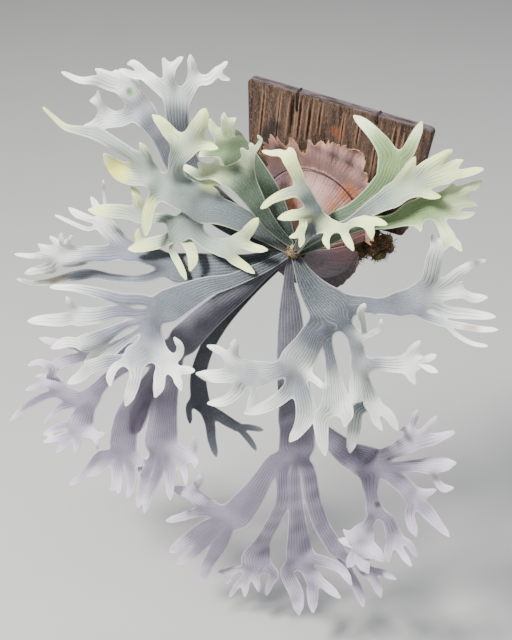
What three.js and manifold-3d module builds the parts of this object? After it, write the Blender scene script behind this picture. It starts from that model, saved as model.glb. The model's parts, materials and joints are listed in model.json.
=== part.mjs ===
// Mounted staghorn fern: a wooden wall board, two wire hangers, the root ball wired to the
// board, two papery shield fronds over it, the scaly crown and the forked antler fronds.
// Millimetres, +Z up. The wall is the plane y = 0 and the plant stands out from it toward -Y.
import * as THREE from 'three';
import { mergeVertices } from 'three/addons/utils/BufferGeometryUtils.js';
import Module from 'manifold-3d';

const wasm = await Module();
wasm.setup();

// ---------------------------------------------------------------- driving dimensions
const clearance = 0.3;            // gap kept between pieces that touch

const boardThickness = 14.5;
const boardTopLeft = [-130, 86];  // corners of the slab, seen from the front [x, z]
const boardTopRight = [129, 78];
const boardLowRight = [105, -82];
const boardLowLeft = [-127, -85];
const boardCornerRadius = 7;
const boardCornerSegments = 4;

const crownHeight = -76;          // the crown sits below the board's middle
const ballCentre = [-6, 4];       // middle of the root ball's rim, from the crown [x, z]
const ballHalfWidth = 82;
const ballHalfHeight = 92;
const ballDepth = 96;
const ballShoulder = 1.7;         // how square the dome's shoulder is
const ballCrown = 0.62;           // how blunt its top is

const crownAxis = new THREE.Vector3(0.39, -0.68, 0.62).normalize();
const crownCentre = [1, 123, 1];  // from the crown's foot on the wall [x, out, z]
const crownRadius = 10.5;
const crownLength = 34;
const crownRelief = 1.1;          // height of its scales
const crownDetail = 4;

const shieldThickness = 1.3;
const frondThickness = 1.7;
const frondArch = 0.07;           // rise of the middle of a blade over its width
const archedWidth = 9;            // a narrower blade is flat across
const webDepth = 0.55;            // how far the web between two arms reaches up the fork
const webDrift = 0.6;             // how near the web may come to the blade's edge
const webLimit = 0.7;             // and to the first rows of the two arms
const notchWidth = 3;             // the least gap between the arms of a fork
const tipLength = 0.45;           // a tip tapers over this share of its width
const lightward = crownAxis;      // the blades' upper faces turn this way
const lightBias = 0.8;            // how much their thickness is measured along it

const hangerRadius = 0.9;
const binderRadius = 0.8;
const binderLift = 8.4;           // above the ball, clear of the shield
const binderReach = 0.83;
const binderFrom = 18;            // where it crosses the shield's edges, degrees
const binderTo = 160;
const binderSteps = 22;
const binderTurns = [1.12, 1.22]; // its reach where it goes around the shield's rim
const binderHoles = [[84, -45], [-112, -42]];  // where its ends enter the slab [x, z]
const binderHoleRadius = 1.5;
const binderHoleDepth = 8;

// ---------------------------------------------------------------- finishes
function finish(color, roughness, metalness = 0) {
  return new THREE.MeshStandardMaterial({ color, roughness, metalness });
}
const weatheredWood = finish(0x5a4434, 0.85);
const darkWire = finish(0x2b2426, 0.45, 0.8);
const mossAndRoots = finish(0x4a3c22, 0.98);
const dryShield = finish(0xb98f82, 0.8);
const olderShield = finish(0x7a626c, 0.75);
const crownScales = finish(0x9a8462, 0.9);
const silverFrond = finish(0xc3c6d6, 0.75);
const brightFrond = finish(0xdfe6cf, 0.75);
const greenFrond = finish(0xa9bda6, 0.75);
const pinkFrond = finish(0xb4a8b6, 0.78);
const shadeFrond = finish(0x5d6470, 0.8);

// ---------------------------------------------------------------- solids
function solidOf(geometry) {
  const bare = geometry.clone();
  bare.deleteAttribute('normal');
  bare.deleteAttribute('uv');
  const merged = mergeVertices(bare, 1e-4);
  return new wasm.Manifold(new wasm.Mesh({
    numProp: 3,
    vertProperties: new Float32Array(merged.attributes.position.array),
    triVerts: new Uint32Array(merged.index.array),
  }));
}

function geometryOf(solid) {
  const mesh = solid.getMesh();
  const geometry = new THREE.BufferGeometry();
  geometry.setAttribute('position', new THREE.BufferAttribute(mesh.vertProperties, 3));
  geometry.setIndex(new THREE.BufferAttribute(mesh.triVerts, 1));
  geometry.computeVertexNormals();
  return geometry;
}

function indexedGeometry(points, faces) {
  const geometry = new THREE.BufferGeometry();
  const coordinates = points.flatMap((p) => [p.x, p.y, p.z]);
  geometry.setAttribute('position', new THREE.Float32BufferAttribute(coordinates, 3));
  geometry.setIndex(faces.flat());
  geometry.computeVertexNormals();
  return geometry;
}

const root = new THREE.Group();
const plant = new THREE.Group();
plant.position.z = crownHeight;
root.add(plant);

function addPiece(group, name, geometry, material) {
  const mesh = new THREE.Mesh(geometry, material.clone());
  mesh.name = name;
  group.add(mesh);
}

// ---------------------------------------------------------------- wall board
// a weathered slab with rounded corners, split by long drying cracks, with two hanger holes
const crackDepth = 4;
const crackLean = 0.09;           // the grain runs this much off the upright
const crackBedShare = 0.7;        // a crack's floor is this share of its length
const cracks = [                  // [x, z of the top end, z of the bottom end, width]
  [-61, 78, 14, 4.2], [-49, 82, 16, 2.2], [-35, 81, 18, 2.6], [-21, 80, 30, 2],
  [84, 76, 18, 2.6], [97, 68, 26, 2.4], [-104, 78, -20, 1.8], [34, 76, 30, 1.6],
];
const hangerSpots = [             // [x, z of the hole, z of the top edge there, hole radius]
  [-56.5, 60, 83.8, 1.9],
  [55, 71, 80.4, 1.9],
];
const grooveDepth = 2.4;          // the wire lies in this groove behind the slab
const holeSides = 10;

function boardOutline() {
  const corners = [boardLowLeft, boardLowRight, boardTopRight, boardTopLeft];
  const shape = new THREE.Shape();
  corners.forEach((corner, i) => {
    const here = new THREE.Vector2(...corner);
    const before = new THREE.Vector2(...corners[(i + 3) % 4]);
    const after = new THREE.Vector2(...corners[(i + 1) % 4]);
    const arrive = here.clone().add(before.sub(here).setLength(boardCornerRadius));
    const leave = here.clone().add(after.sub(here).setLength(boardCornerRadius));
    if (i === 0) shape.moveTo(arrive.x, arrive.y);
    else shape.lineTo(arrive.x, arrive.y);
    shape.quadraticCurveTo(here.x, here.y, leave.x, leave.y);
  });
  shape.closePath();
  return shape;
}

function wedge(x, zTop, zLow, width) {
  // a V-shaped crack in the front face, widest at its middle
  const zMid = (zTop + zLow) / 2;
  const lip = -boardThickness - 1;
  const bed = -boardThickness + crackDepth;
  const bedReach = crackBedShare * (zTop - zMid);
  const at = (aside, y, z) => new THREE.Vector3(x + aside + crackLean * (z - zTop), y, z);
  const points = [
    at(0, lip, zTop), at(-width / 2, lip, zMid), at(0, lip, zLow), at(width / 2, lip, zMid),
    at(0, bed, zMid + bedReach), at(0, bed, zMid - bedReach),
  ];
  const faces = [
    [0, 1, 2], [0, 2, 3],
    [0, 4, 1], [1, 4, 5], [1, 5, 2], [2, 5, 3], [3, 5, 4], [3, 4, 0],
  ];
  return indexedGeometry(points, faces);
}

function boxAt(x0, x1, y0, y1, z0, z1) {
  const box = new THREE.BoxGeometry(x1 - x0, y1 - y0, z1 - z0);
  return box.translate((x0 + x1) / 2, (y0 + y1) / 2, (z0 + z1) / 2);
}

function boardGeometry() {
  const slab = new THREE.ExtrudeGeometry(boardOutline(), {
    depth: boardThickness, bevelEnabled: false, curveSegments: boardCornerSegments,
  });
  slab.rotateX(Math.PI / 2);
  let board = solidOf(slab);
  for (const [x, zTop, zLow, width] of cracks) {
    board = board.subtract(solidOf(wedge(x, zTop, zLow, width)));
  }
  for (const [x, zHole, zEdge, radius] of hangerSpots) {
    const hole = new THREE.CylinderGeometry(radius, radius, boardThickness + 4, holeSides);
    hole.translate(x, -boardThickness / 2, zHole);
    const groove = boxAt(x - radius, x + radius, -grooveDepth, 1, zHole, zEdge + 4);
    board = board.subtract(solidOf(hole)).subtract(solidOf(groove));
  }
  for (const [x, z] of binderHoles) {
    const long = binderHoleDepth + 1;
    const hole = new THREE.CylinderGeometry(binderHoleRadius, binderHoleRadius, long, holeSides);
    hole.translate(x, -boardThickness + (binderHoleDepth - 1) / 2, z);
    board = board.subtract(solidOf(hole));
  }
  return geometryOf(board);
}
addPiece(root, 'wall_board', boardGeometry(), weatheredWood);

// ---------------------------------------------------------------- wires
const wireSides = 6;

function wire(points, radius) {
  // a round wire through the points, its section carried along without twist
  const tangents = points.map((p, i) => {
    const ahead = points[Math.min(i + 1, points.length - 1)];
    const behind = points[Math.max(i - 1, 0)];
    return ahead.clone().sub(behind).normalize();
  });
  const across = new THREE.Vector3(1, 0.2, 0.1);
  const vertices = [];
  points.forEach((p, i) => {
    across.addScaledVector(tangents[i], -across.dot(tangents[i])).normalize();
    const up = tangents[i].clone().cross(across);
    for (let k = 0; k < wireSides; k += 1) {
      const angle = (k / wireSides) * 2 * Math.PI;
      const spoke = across.clone().multiplyScalar(Math.cos(angle));
      spoke.addScaledVector(up, Math.sin(angle));
      vertices.push(p.clone().addScaledVector(spoke, radius));
    }
  });
  const faces = [];
  for (let i = 0; i + 1 < points.length; i += 1) {
    for (let k = 0; k < wireSides; k += 1) {
      const a = i * wireSides + k;
      const b = i * wireSides + ((k + 1) % wireSides);
      faces.push([a, b, b + wireSides], [a, b + wireSides, a + wireSides]);
    }
  }
  const last = (points.length - 1) * wireSides;
  for (let k = 1; k + 1 < wireSides; k += 1) {
    faces.push([0, k + 1, k], [last, last + k, last + k + 1]);
  }
  return indexedGeometry(vertices, faces);
}

// each hanger goes through its hole and over the top edge, its ends meeting inside the hole
function hangerPoints([x, zHole, zEdge]) {
  const back = -1.3;
  const front = -boardThickness - hangerRadius - 0.6;
  const top = zEdge + hangerRadius + 0.9;
  const middle = -boardThickness / 2;
  return [
    [middle + 0.6, zHole], [back - 1.6, zHole], [back - 0.4, zHole + 0.7], [back, zHole + 2],
    [back, top - 2], [back - 0.6, top - 0.6], [back - 2, top],
    [front + 2, top], [front + 0.6, top - 0.6], [front, top - 2],
    [front, zHole + 2], [front + 0.5, zHole + 0.6], [front + 2, zHole], [middle - 0.6, zHole],
  ].map(([y, z]) => new THREE.Vector3(x, y, z));
}
addPiece(root, 'hanger_wire_left', wire(hangerPoints(hangerSpots[0]), hangerRadius), darkWire);
addPiece(root, 'hanger_wire_right', wire(hangerPoints(hangerSpots[1]), hangerRadius), darkWire);

// ---------------------------------------------------------------- root ball and shields
function stand(x, out, z) {
  return new THREE.Vector3(x, -out, z);
}

function domeOut(reach) {
  const inside = Math.max(0, 1 - reach ** ballShoulder);
  return boardThickness + clearance + ballDepth * inside ** ballCrown;
}

function domePoint(angle, reach) {
  // reach 0 is under the crown, 1 is the ball's rim against the board
  const x = ballCentre[0] * reach + ballHalfWidth * reach * Math.cos(angle);
  const z = ballCentre[1] * reach + ballHalfHeight * reach * Math.sin(angle);
  return stand(x, domeOut(reach), z);
}

const ballTurns = 30;
const ballRings = 8;
const ballShrink = 0.018;         // the packed moss lies this far under the shields
const ballRelief = 0.012;         // and its hollows this much further

function lumps(angle, reach) {
  return 1.4 * Math.sin(5 * angle + 9 * reach) + 1.1 * Math.sin(9 * angle - 7 * reach + 1);
}

function ballGeometry() {
  const turns = ballTurns;
  const rings = ballRings;
  const points = [domePoint(0, 0).add(stand(0, -1.5, 0))];
  for (let ring = 1; ring <= rings; ring += 1) {
    const reach = Math.sin((ring / rings) * Math.PI / 2);
    for (let turn = 0; turn < turns; turn += 1) {
      const angle = (turn / turns) * 2 * Math.PI;
      const p = domePoint(angle, reach);
      const hollow = ballRelief * Math.abs(lumps(angle, reach)) * reach;
      if (ring < rings) p.multiplyScalar(1 - ballShrink - hollow);
      p.y = Math.min(p.y, -boardThickness - clearance);
      points.push(p);
    }
  }
  points.push(stand(ballCentre[0], boardThickness + clearance, ballCentre[1]));
  const hub = points.length - 1;
  const faces = [];
  for (let turn = 0; turn < turns; turn += 1) {
    const next = (turn + 1) % turns;
    faces.push([0, 1 + turn, 1 + next]);
    for (let ring = 0; ring + 1 < rings; ring += 1) {
      const a = 1 + ring * turns;
      const [b, c] = [a + turns + turn, a + turns + next];
      faces.push([a + turn, b, c], [a + turn, c, a + next]);
    }
    const rim = 1 + (rings - 1) * turns;
    faces.push([hub, rim + next, rim + turn]);
  }
  return indexedGeometry(points, faces);
}

// moss that has swelled out of the ball beside the slab's low right corner
const mossTufts = [               // [x, out, z, radius]
  [72, 34, -18, 15], [84, 31, -12, 11], [82, 33, -28, 10], [92, 28, -20, 7.5], [76, 28, -36, 8],
  [90, 29, -6, 7],
];

const tuftRelief = 0.14;

function tuft([x, out, z, radius], seed) {
  const ball = new THREE.IcosahedronGeometry(radius, 2);
  const spot = ball.attributes.position;
  const p = new THREE.Vector3();
  for (let i = 0; i < spot.count; i += 1) {
    p.fromBufferAttribute(spot, i);
    const level = Math.sin(p.x * 0.9 + seed) * Math.sin(p.y * 0.8 - seed);
    p.multiplyScalar(1 + tuftRelief * level * Math.sin(p.z * 1.1 + 2 * seed));
    spot.setXYZ(i, p.x, p.y, p.z);
  }
  return ball.translate(x, -out, z);
}

let rootBall = solidOf(ballGeometry());
mossTufts.forEach((spot, i) => {
  rootBall = rootBall.add(solidOf(tuft(spot, i + 1)));
});
const behindBall = boxAt(-200, 200, -boardThickness - clearance, 40, -200, 200);
rootBall = rootBall.subtract(solidOf(behindBall));
addPiece(plant, 'root_ball', geometryOf(rootBall), mossAndRoots);

function plateGeometry(rows, thickness) {
  // a thin shell on a grid of points, its two faces split alike
  const wide = rows[0].length;
  const top = rows.flat();
  const faces = [];
  for (let i = 0; i + 1 < rows.length; i += 1) {
    for (let k = 0; k + 1 < wide; k += 1) {
      const a = i * wide + k;
      faces.push([a, a + 1, a + wide + 1], [a, a + wide + 1, a + wide]);
    }
  }
  return bladeGeometry(top, faces, thickness);
}

function bladeGeometry(points, faces, thickness, lean = 0) {
  // gives the sheet its thickness, measured along its normals leaned toward the light:
  // the upper face, the same triangles below, and a rim
  const normals = points.map(() => new THREE.Vector3());
  for (const [a, b, c] of faces) {
    const n = points[b].clone().sub(points[a]).cross(points[c].clone().sub(points[a]));
    for (const i of [a, b, c]) normals[i].add(n);
  }
  normals.forEach((n) => n.normalize().addScaledVector(lightward, lean).normalize());
  const upper = points.map((p, i) => p.clone().addScaledVector(normals[i], thickness / 2));
  const lower = points.map((p, i) => p.clone().addScaledVector(normals[i], -thickness / 2));
  const count = points.length;
  const solidFaces = [...faces];
  const edges = new Set();
  for (const [a, b, c] of faces) {
    solidFaces.push([a + count, c + count, b + count]);
    edges.add(`${a} ${b}`).add(`${b} ${c}`).add(`${c} ${a}`);
  }
  for (const edge of edges) {
    const [a, b] = edge.split(' ').map(Number);
    if (!edges.has(`${b} ${a}`)) {
      solidFaces.push([b, a, a + count], [b, a + count, b + count]);
    }
  }
  return indexedGeometry([...upper, ...lower], solidFaces);
}

function rimReach(stops, angle) {
  // the rim's reach between its stops [angle in degrees, reach]
  const degrees = THREE.MathUtils.radToDeg(angle);
  let i = 0;
  while (i + 2 < stops.length && degrees > stops[i + 1][0]) i += 1;
  const along = (degrees - stops[i][0]) / (stops[i + 1][0] - stops[i][0]);
  return THREE.MathUtils.lerp(stops[i][1], stops[i + 1][1], THREE.MathUtils.clamp(along, 0, 1));
}

function shieldPoint(angle, reach, lift, flareFrom, flareRise) {
  // the shield lies on the ball, and past flareFrom it leaves it and stands free
  const held = Math.min(reach, flareFrom);
  const p = domePoint(angle, held);
  const inner = domePoint(angle, held * 0.97);
  const aroundStep = domePoint(angle + 0.05, held).sub(domePoint(angle - 0.05, held));
  const normal = p.clone().sub(inner).cross(aroundStep).normalize();
  p.addScaledVector(normal, lift);
  const past = Math.max(0, reach - flareFrom);
  p.x += ballHalfWidth * past * Math.cos(angle);
  p.z += ballHalfHeight * past * Math.sin(angle);
  p.y -= flareRise * past;
  return p;
}

// the dry upper shield: a fan with a torn, toothed edge
const upperRim = [[-4, 1], [20, 1.08], [30, 1.17], [40, 1.25], [50, 1.38], [60, 1.58], [70, 1.5],
  [78, 1.42], [85, 1.24], [90, 1.3], [96, 1.22], [105, 1.18], [112, 1.22], [118, 1.36], [126, 1.28],
  [135, 1.22], [145, 1.14], [155, 1.1], [165, 1.05], [185, 1]];
const upperFrom = THREE.MathUtils.degToRad(-4);
const upperTo = THREE.MathUtils.degToRad(185);
const toothDepth = 0.11;
const upperStart = 0.15;          // its stalk end lies this far from the crown's middle
const upperSpans = 54;
const upperRings = 9;
const upperRipple = 1.2;
const upperLift = 2.6;
const upperFlareFrom = 0.86;
const upperFlareRise = 18;

function upperShieldGeometry() {
  const spans = upperSpans;
  const rings = upperRings;
  const rows = [];
  for (let ring = 0; ring <= rings; ring += 1) {
    const row = [];
    for (let span = 0; span <= spans; span += 1) {
      const angle = THREE.MathUtils.lerp(upperFrom, upperTo, span / spans);
      const tooth = span % 2 ? 1 : -1;
      const ragged = tooth * (0.45 + 0.55 * Math.abs(Math.sin(span * 2.3)));
      const rim = rimReach(upperRim, angle) + toothDepth * ragged * (ring === rings ? 0.5 : 0);
      const reach = THREE.MathUtils.lerp(upperStart, rim, ring / rings);
      const ripple = upperRipple * Math.sin(span * 0.9) * Math.max(0, ring / rings - 0.3);
      row.push(shieldPoint(angle, reach, upperLift + ripple, upperFlareFrom, upperFlareRise));
    }
    rows.push(row);
  }
  return plateGeometry(rows, shieldThickness);
}

// the younger lower shield: a smooth round lobe wrapped under the ball, over the first one's ends
const lowerRim = [[-205, 0.98], [-180, 1], [-150, 1.02], [-120, 1.04], [-90, 1.05], [-60, 1.03],
  [-35, 0.97], [-18, 0.86], [0, 0.7]];
const lowerFrom = THREE.MathUtils.degToRad(-205);
const lowerTo = THREE.MathUtils.degToRad(0);
const lowerStart = 0.17;
const lowerSpans = 34;
const lowerRings = 8;
const lowerLift = 5.6;
const lowerFlareFrom = 0.8;
const lowerFlareRise = 10;

function lowerShieldGeometry() {
  const spans = lowerSpans;
  const rings = lowerRings;
  const rows = [];
  for (let ring = 0; ring <= rings; ring += 1) {
    const row = [];
    for (let span = 0; span <= spans; span += 1) {
      const angle = THREE.MathUtils.lerp(lowerFrom, lowerTo, span / spans);
      const rim = rimReach(lowerRim, angle) + 0.012 * Math.sin(span * 1.1);
      const reach = THREE.MathUtils.lerp(lowerStart, rim, ring / rings);
      const lift = lowerLift + 0.5 * Math.sin(span * 0.7 + ring);
      row.push(shieldPoint(angle, reach, lift, lowerFlareFrom, lowerFlareRise));
    }
    rows.push(row);
  }
  return plateGeometry(rows, shieldThickness);
}

// ---------------------------------------------------------------- crown
function crownGeometry(grow) {
  // a stubby rhizome end, rough with overlapping scales
  const knob = new THREE.IcosahedronGeometry(1, crownDetail);
  const spot = knob.attributes.position;
  const p = new THREE.Vector3();
  for (let i = 0; i < spot.count; i += 1) {
    p.fromBufferAttribute(spot, i);
    const turn = Math.atan2(p.y, p.x);
    const scales = Math.sin(4 * turn + 6 * p.z) * Math.cos(7 * p.z - 2 * turn) * (1 - p.z * p.z);
    const side = crownRadius + crownRelief * scales + grow;
    spot.setXYZ(i, p.x * side, p.y * side, p.z * (crownLength / 2 + grow));
  }
  const turn = new THREE.Quaternion().setFromUnitVectors(new THREE.Vector3(0, 0, 1), crownAxis);
  knob.applyQuaternion(turn);
  const [x, out, z] = crownCentre;
  return knob.translate(x, -out, z);
}

const crownRoom = solidOf(crownGeometry(clearance));
const ballBelow = solidOf(geometryOf(rootBall).translate(0, -clearance, 0));
const crownSolid = solidOf(crownGeometry(0)).subtract(ballBelow);
addPiece(plant, 'crown', geometryOf(crownSolid), crownScales);

function clearOfCrown(geometry) {
  return geometryOf(solidOf(geometry).subtract(crownRoom));
}
addPiece(plant, 'shield_upper', clearOfCrown(upperShieldGeometry()), dryShield);
addPiece(plant, 'shield_lower', clearOfCrown(lowerShieldGeometry()), olderShield);

// ---------------------------------------------------------------- binding wire
function binderPoints() {
  // over the upper shield from side to side, around its rim and down into the slab
  const over = (degrees, reach) => {
    const angle = THREE.MathUtils.degToRad(degrees);
    return shieldPoint(angle, reach, binderLift, upperFlareFrom, upperFlareRise);
  };
  const points = [over(binderFrom, binderTurns[0])];
  for (let i = 0; i <= binderSteps; i += 1) {
    points.push(over(THREE.MathUtils.lerp(binderFrom, binderTo, i / binderSteps), binderReach));
  }
  points.push(over(binderTo, binderTurns[1]));
  const ends = binderHoles.map(([x, z]) => [
    stand(x, boardThickness - binderHoleDepth + 2, z - crownHeight),
    stand(x, boardThickness + 6, z - crownHeight),
  ]);
  return [...ends[0], ...points, ends[1][1], ends[1][0]];
}
addPiece(plant, 'binding_wire', wire(binderPoints(), binderRadius), darkWire);

// ---------------------------------------------------------------- fronds
// A frond is a tree of arms. Each arm is a blade through stations [x, out, z, width], measured
// from the crown's foot on the wall; it ends in a tip or forks into further arms.
function arm(way, arms = []) {
  return { way: way.map(([x, out, z, width]) => ({ spot: stand(x, out, z), width })), arms };
}

function crossOf(along) {
  return along.clone().cross(lightward).normalize();
}

function rowIds(sheet, spots) {
  return spots.map((spot) => sheet.points.push(spot) - 1);
}

function middlePoint(left, right) {
  // the blade's middle, raised a little so that its section is arched
  const width = left.distanceTo(right);
  return left.clone().add(right).multiplyScalar(0.5).addScaledVector(lightward, frondArch * width);
}

function stitch(sheet, low, high) {
  // triangles between two rows of different lengths, matched by their share of the width
  let i = 0;
  let k = 0;
  while (i + 1 < low.length || k + 1 < high.length) {
    const lowNext = i + 1 < low.length ? (i + 0.5) / (low.length - 1) : 2;
    const highNext = k + 1 < high.length ? (k + 0.5) / (high.length - 1) : 2;
    if (lowNext < highNext) {
      sheet.faces.push([low[i], low[i + 1], high[k]]);
      i += 1;
    } else {
      sheet.faces.push([low[i], high[k + 1], high[k]]);
      k += 1;
    }
  }
}

function edgesOf({ spot, width }, along) {
  const half = crossOf(along).multiplyScalar(width / 2);
  return [spot.clone().sub(half), spot.clone().add(half)];
}

function rowBetween(left, right) {
  const isNarrow = left.distanceTo(right) < archedWidth;
  return isNarrow ? [left, right] : [left, middlePoint(left, right), right];
}

function headingOf(way, from, i) {
  const before = i ? way[i - 1].spot : from;
  const after = way[i + 1] ? way[i + 1].spot : way[i].spot;
  return after.clone().sub(before).normalize();
}

function keepApart(first, next) {
  // neighbouring arms whose first rows would meet are drawn in to leave a notch between them
  const seam = first.edges[1].clone().add(next.edges[0]).multiplyScalar(0.5);
  const across = next.spot.clone().sub(first.spot).normalize();
  const room = next.edges[0].clone().sub(first.edges[1]).dot(across);
  if (room >= notchWidth) return;
  first.edges[1].copy(seam).addScaledVector(across, -notchWidth / 2);
  next.edges[0].copy(seam).addScaledVector(across, notchWidth / 2);
}

function webPoint(onRow, first, next, side) {
  // the bottom of the notch between two arms, kept behind the first rows of both; it moves
  // sideways no further than most of the way to the blade's edge
  const reach = first.edges[1].clone().lerp(next.edges[0], 0.5).sub(onRow);
  let depth = webDepth;
  for (const { spot, along } of [first, next]) {
    const behind = Math.max(0, spot.clone().sub(onRow).dot(along));
    const closing = reach.dot(along);
    if (closing * depth > webLimit * behind) depth = (webLimit * behind) / closing;
  }
  reach.multiplyScalar(depth);
  const drift = reach.dot(side.across);
  const held = THREE.MathUtils.clamp(drift, -webDrift * side.left, webDrift * side.right);
  return onRow.clone().add(reach).addScaledVector(side.across, held - drift);
}

function forkRow({ spot, width }, along, arms) {
  // the arms from left to right, each with its first row, and the points that divide their bases
  const across = crossOf(along);
  const bearing = ({ way }) => {
    const d = way[0].spot.clone().sub(spot);
    return Math.atan2(d.dot(across), d.dot(along));
  };
  const ordered = [...arms].sort((a, b) => bearing(a) - bearing(b));
  const starts = ordered.map(({ way }) => {
    const heading = headingOf(way, spot, 0);
    return { spot: way[0].spot, along: heading, edges: edgesOf(way[0], heading) };
  });
  starts.slice(1).forEach((next, i) => keepApart(starts[i], next));
  const [left, right] = edgesOf({ spot, width }, along);
  const total = ordered.reduce((sum, { way }) => sum + way[0].width, 0);
  const webs = [left];
  let share = 0;
  for (let i = 0; i + 1 < ordered.length; i += 1) {
    share += ordered[i].way[0].width / total;
    const side = { across, left: share * width, right: (1 - share) * width };
    webs.push(webPoint(left.clone().lerp(right, share), starts[i], starts[i + 1], side));
  }
  webs.push(right);
  return { ordered, starts, webs };
}

function growArm(sheet, { way, arms }, baseRow, base, firstEdges) {
  let row = baseRow;
  way.forEach((station, i) => {
    const { spot, width } = station;
    const along = headingOf(way, base, i);
    const isLast = i + 1 === way.length;
    if (isLast && arms.length) {
      const { ordered, starts, webs } = forkRow(station, along, arms);
      const points = webs.flatMap((p, k) => (k ? [middlePoint(webs[k - 1], p), p] : [p]));
      const ids = rowIds(sheet, points);
      stitch(sheet, row, ids);
      ordered.forEach((next, k) => {
        growArm(sheet, next, ids.slice(2 * k, 2 * k + 3), spot, starts[k].edges);
      });
      return;
    }
    const edges = i || !firstEdges ? edgesOf(station, along) : firstEdges;
    if (isLast) edges.forEach((p) => p.addScaledVector(along, -tipLength * width));
    const ids = rowIds(sheet, rowBetween(...edges));
    if (row) stitch(sheet, row, ids);
    if (isLast) stitch(sheet, ids, rowIds(sheet, [spot]));
    row = ids;
  });
}

function frondGeometry(frond) {
  const sheet = { points: [], faces: [] };
  growArm(sheet, frond, null, stand(...crownCentre));
  return clearOfCrown(bladeGeometry(sheet.points, sheet.faces, frondThickness, lightBias));
}

const frondTall = arm([[-5, 121, 5, 10], [-44, 125, 19, 15], [-95, 132, 47, 20], [-132, 138, 81, 24],
  [-146, 143, 115, 25], [-150, 147, 146, 26], [-149, 150, 170, 28], [-148, 151, 182, 30]], [
  arm([[-168, 152, 195, 14], [-184, 154, 207, 14]], [
    arm([[-195, 156, 218, 10], [-206, 158, 225, 7], [-212, 160, 224, 5]]),
    arm([[-207, 150, 202, 7], [-234, 146, 203, 5]]),
  ]),
  arm([[-153, 156, 210, 12], [-151, 160, 227, 15]], [
    arm([[-154, 163, 238, 7], [-155, 165, 246, 5]]),
    arm([[-141, 162, 240, 8], [-128, 165, 253, 5]]),
  ]),
  arm([[-129, 152, 205, 17], [-119, 156, 222, 16]], [
    arm([[-118, 160, 240, 10], [-119, 162, 256, 7]]),
    arm([[-103, 152, 224, 12], [-89, 152, 238, 10]], [
      arm([[-80, 154, 249, 6], [-73, 156, 257, 5]]),
      arm([[-84, 148, 229, 6], [-76, 146, 228, 5]]),
    ]),
  ]),
]);

const frondBackLeft = arm([[-10, 118, -1, 10], [-52, 121, -1, 16], [-105, 123, 10, 20], [-151, 127, 39, 21],
  [-178, 129, 84, 19], [-191, 131, 115, 20], [-203, 133, 134, 25], [-211, 134, 145, 30]], [
  arm([[-222, 137, 164, 25], [-229, 139, 176, 27]], [
    arm([[-222, 141, 192, 12], [-232, 143, 197, 7], [-243, 144, 200, 5]]),
    arm([[-241, 143, 186, 11], [-255, 148, 194, 9], [-268, 152, 200, 5]]),
    arm([[-253, 140, 173, 11], [-271, 145, 179, 10], [-294, 152, 178, 8], [-315, 160, 187, 5]]),
  ]),
  arm([[-246, 132, 127, 19], [-271, 132, 120, 21]], [
    arm([[-274, 136, 135, 12], [-280, 139, 147, 12]], [
      arm([[-277, 140, 156, 5], [-275, 141, 163, 4]]),
      arm([[-287, 141, 146, 5], [-289, 142, 146, 4]]),
    ]),
    arm([[-301, 128, 96, 19], [-323, 124, 88, 9]]),
  ]),
]);

const frondBright = arm([[-5, 126, 2, 10], [-28, 132, 17, 18], [-58, 142, 36, 28], [-88, 150, 46, 33], [-110, 157, 50, 38]], [
  arm([[-129, 164, 64, 38]], [
    arm([[-108, 156, 84, 7]], [
      arm([[-96, 157, 91, 5], [-84, 158, 92, 4]]),
      arm([[-98, 156, 80, 5], [-91, 156, 79, 4]]),
    ]),
    arm([[-144, 170, 71, 39]], [
      arm([[-140, 175, 101, 17], [-131, 180, 126, 21], [-118, 184, 145, 26]], [
        arm([[-136, 186, 161, 16], [-147, 188, 174, 12], [-157, 190, 182, 6]]),
        arm([[-101, 188, 172, 21], [-87, 192, 195, 16], [-79, 196, 213, 9]]),
        arm([[-92, 180, 155, 12], [-75, 178, 154, 7]]),
      ]),
      arm([[-164, 174, 76, 25], [-175, 177, 86, 25]], [
        arm([[-173, 184, 112, 10], [-174, 187, 126, 10], [-180, 190, 139, 6]]),
        arm([[-190, 180, 105, 15], [-206, 184, 117, 14], [-223, 188, 126, 15], [-245, 192, 135, 17],
          [-266, 196, 135, 11], [-284, 200, 136, 8], [-300, 205, 150, 5], [-309, 210, 162, 4]]),
        arm([[-201, 178, 79, 24], [-219, 182, 83, 23], [-229, 187, 95, 14], [-234, 192, 108, 8]]),
      ]),
      arm([[-170, 178, 56, 15], [-174, 185, 45, 15], [-176, 191, 25, 13], [-176, 195, 8, 10]]),
    ]),
  ]),
  arm([[-131, 160, 23, 28]], [
    arm([[-105, 158, -2, 19], [-84, 158, -2, 22]], [
      arm([[-61, 157, 15, 18]], [
        arm([[-44, 158, 38, 14], [-30, 160, 60, 7]]),
        arm([[-42, 154, 10, 11], [-21, 152, 12, 6]]),
      ]),
      arm([[-68, 156, -16, 13], [-53, 156, -21, 10], [-38, 156, -27, 8]]),
    ]),
    arm([[-145, 163, 7, 31]], [
      arm([[-160, 167, 22, 12], [-181, 173, 20, 13], [-196, 178, 22, 19]], [
        arm([[-198, 178, 40, 13], [-201, 177, 52, 10], [-208, 176, 61, 6]]),
        arm([[-218, 183, 23, 18], [-243, 189, 20, 17], [-266, 195, 17, 9]]),
      ]),
      arm([[-160, 169, -8, 16], [-181, 177, -18, 17], [-192, 182, -22, 16]], [
        arm([[-198, 183, -10, 9], [-198, 182, 2, 7]]),
        arm([[-203, 185, -28, 11], [-212, 187, -31, 8]]),
      ]),
      arm([[-155, 167, -28, 9], [-141, 175, -38, 9], [-126, 182, -52, 7]]),
      arm([[-126, 168, -13, 14], [-119, 174, -21, 13], [-120, 180, -37, 9]]),
    ]),
  ]),
]);

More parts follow.
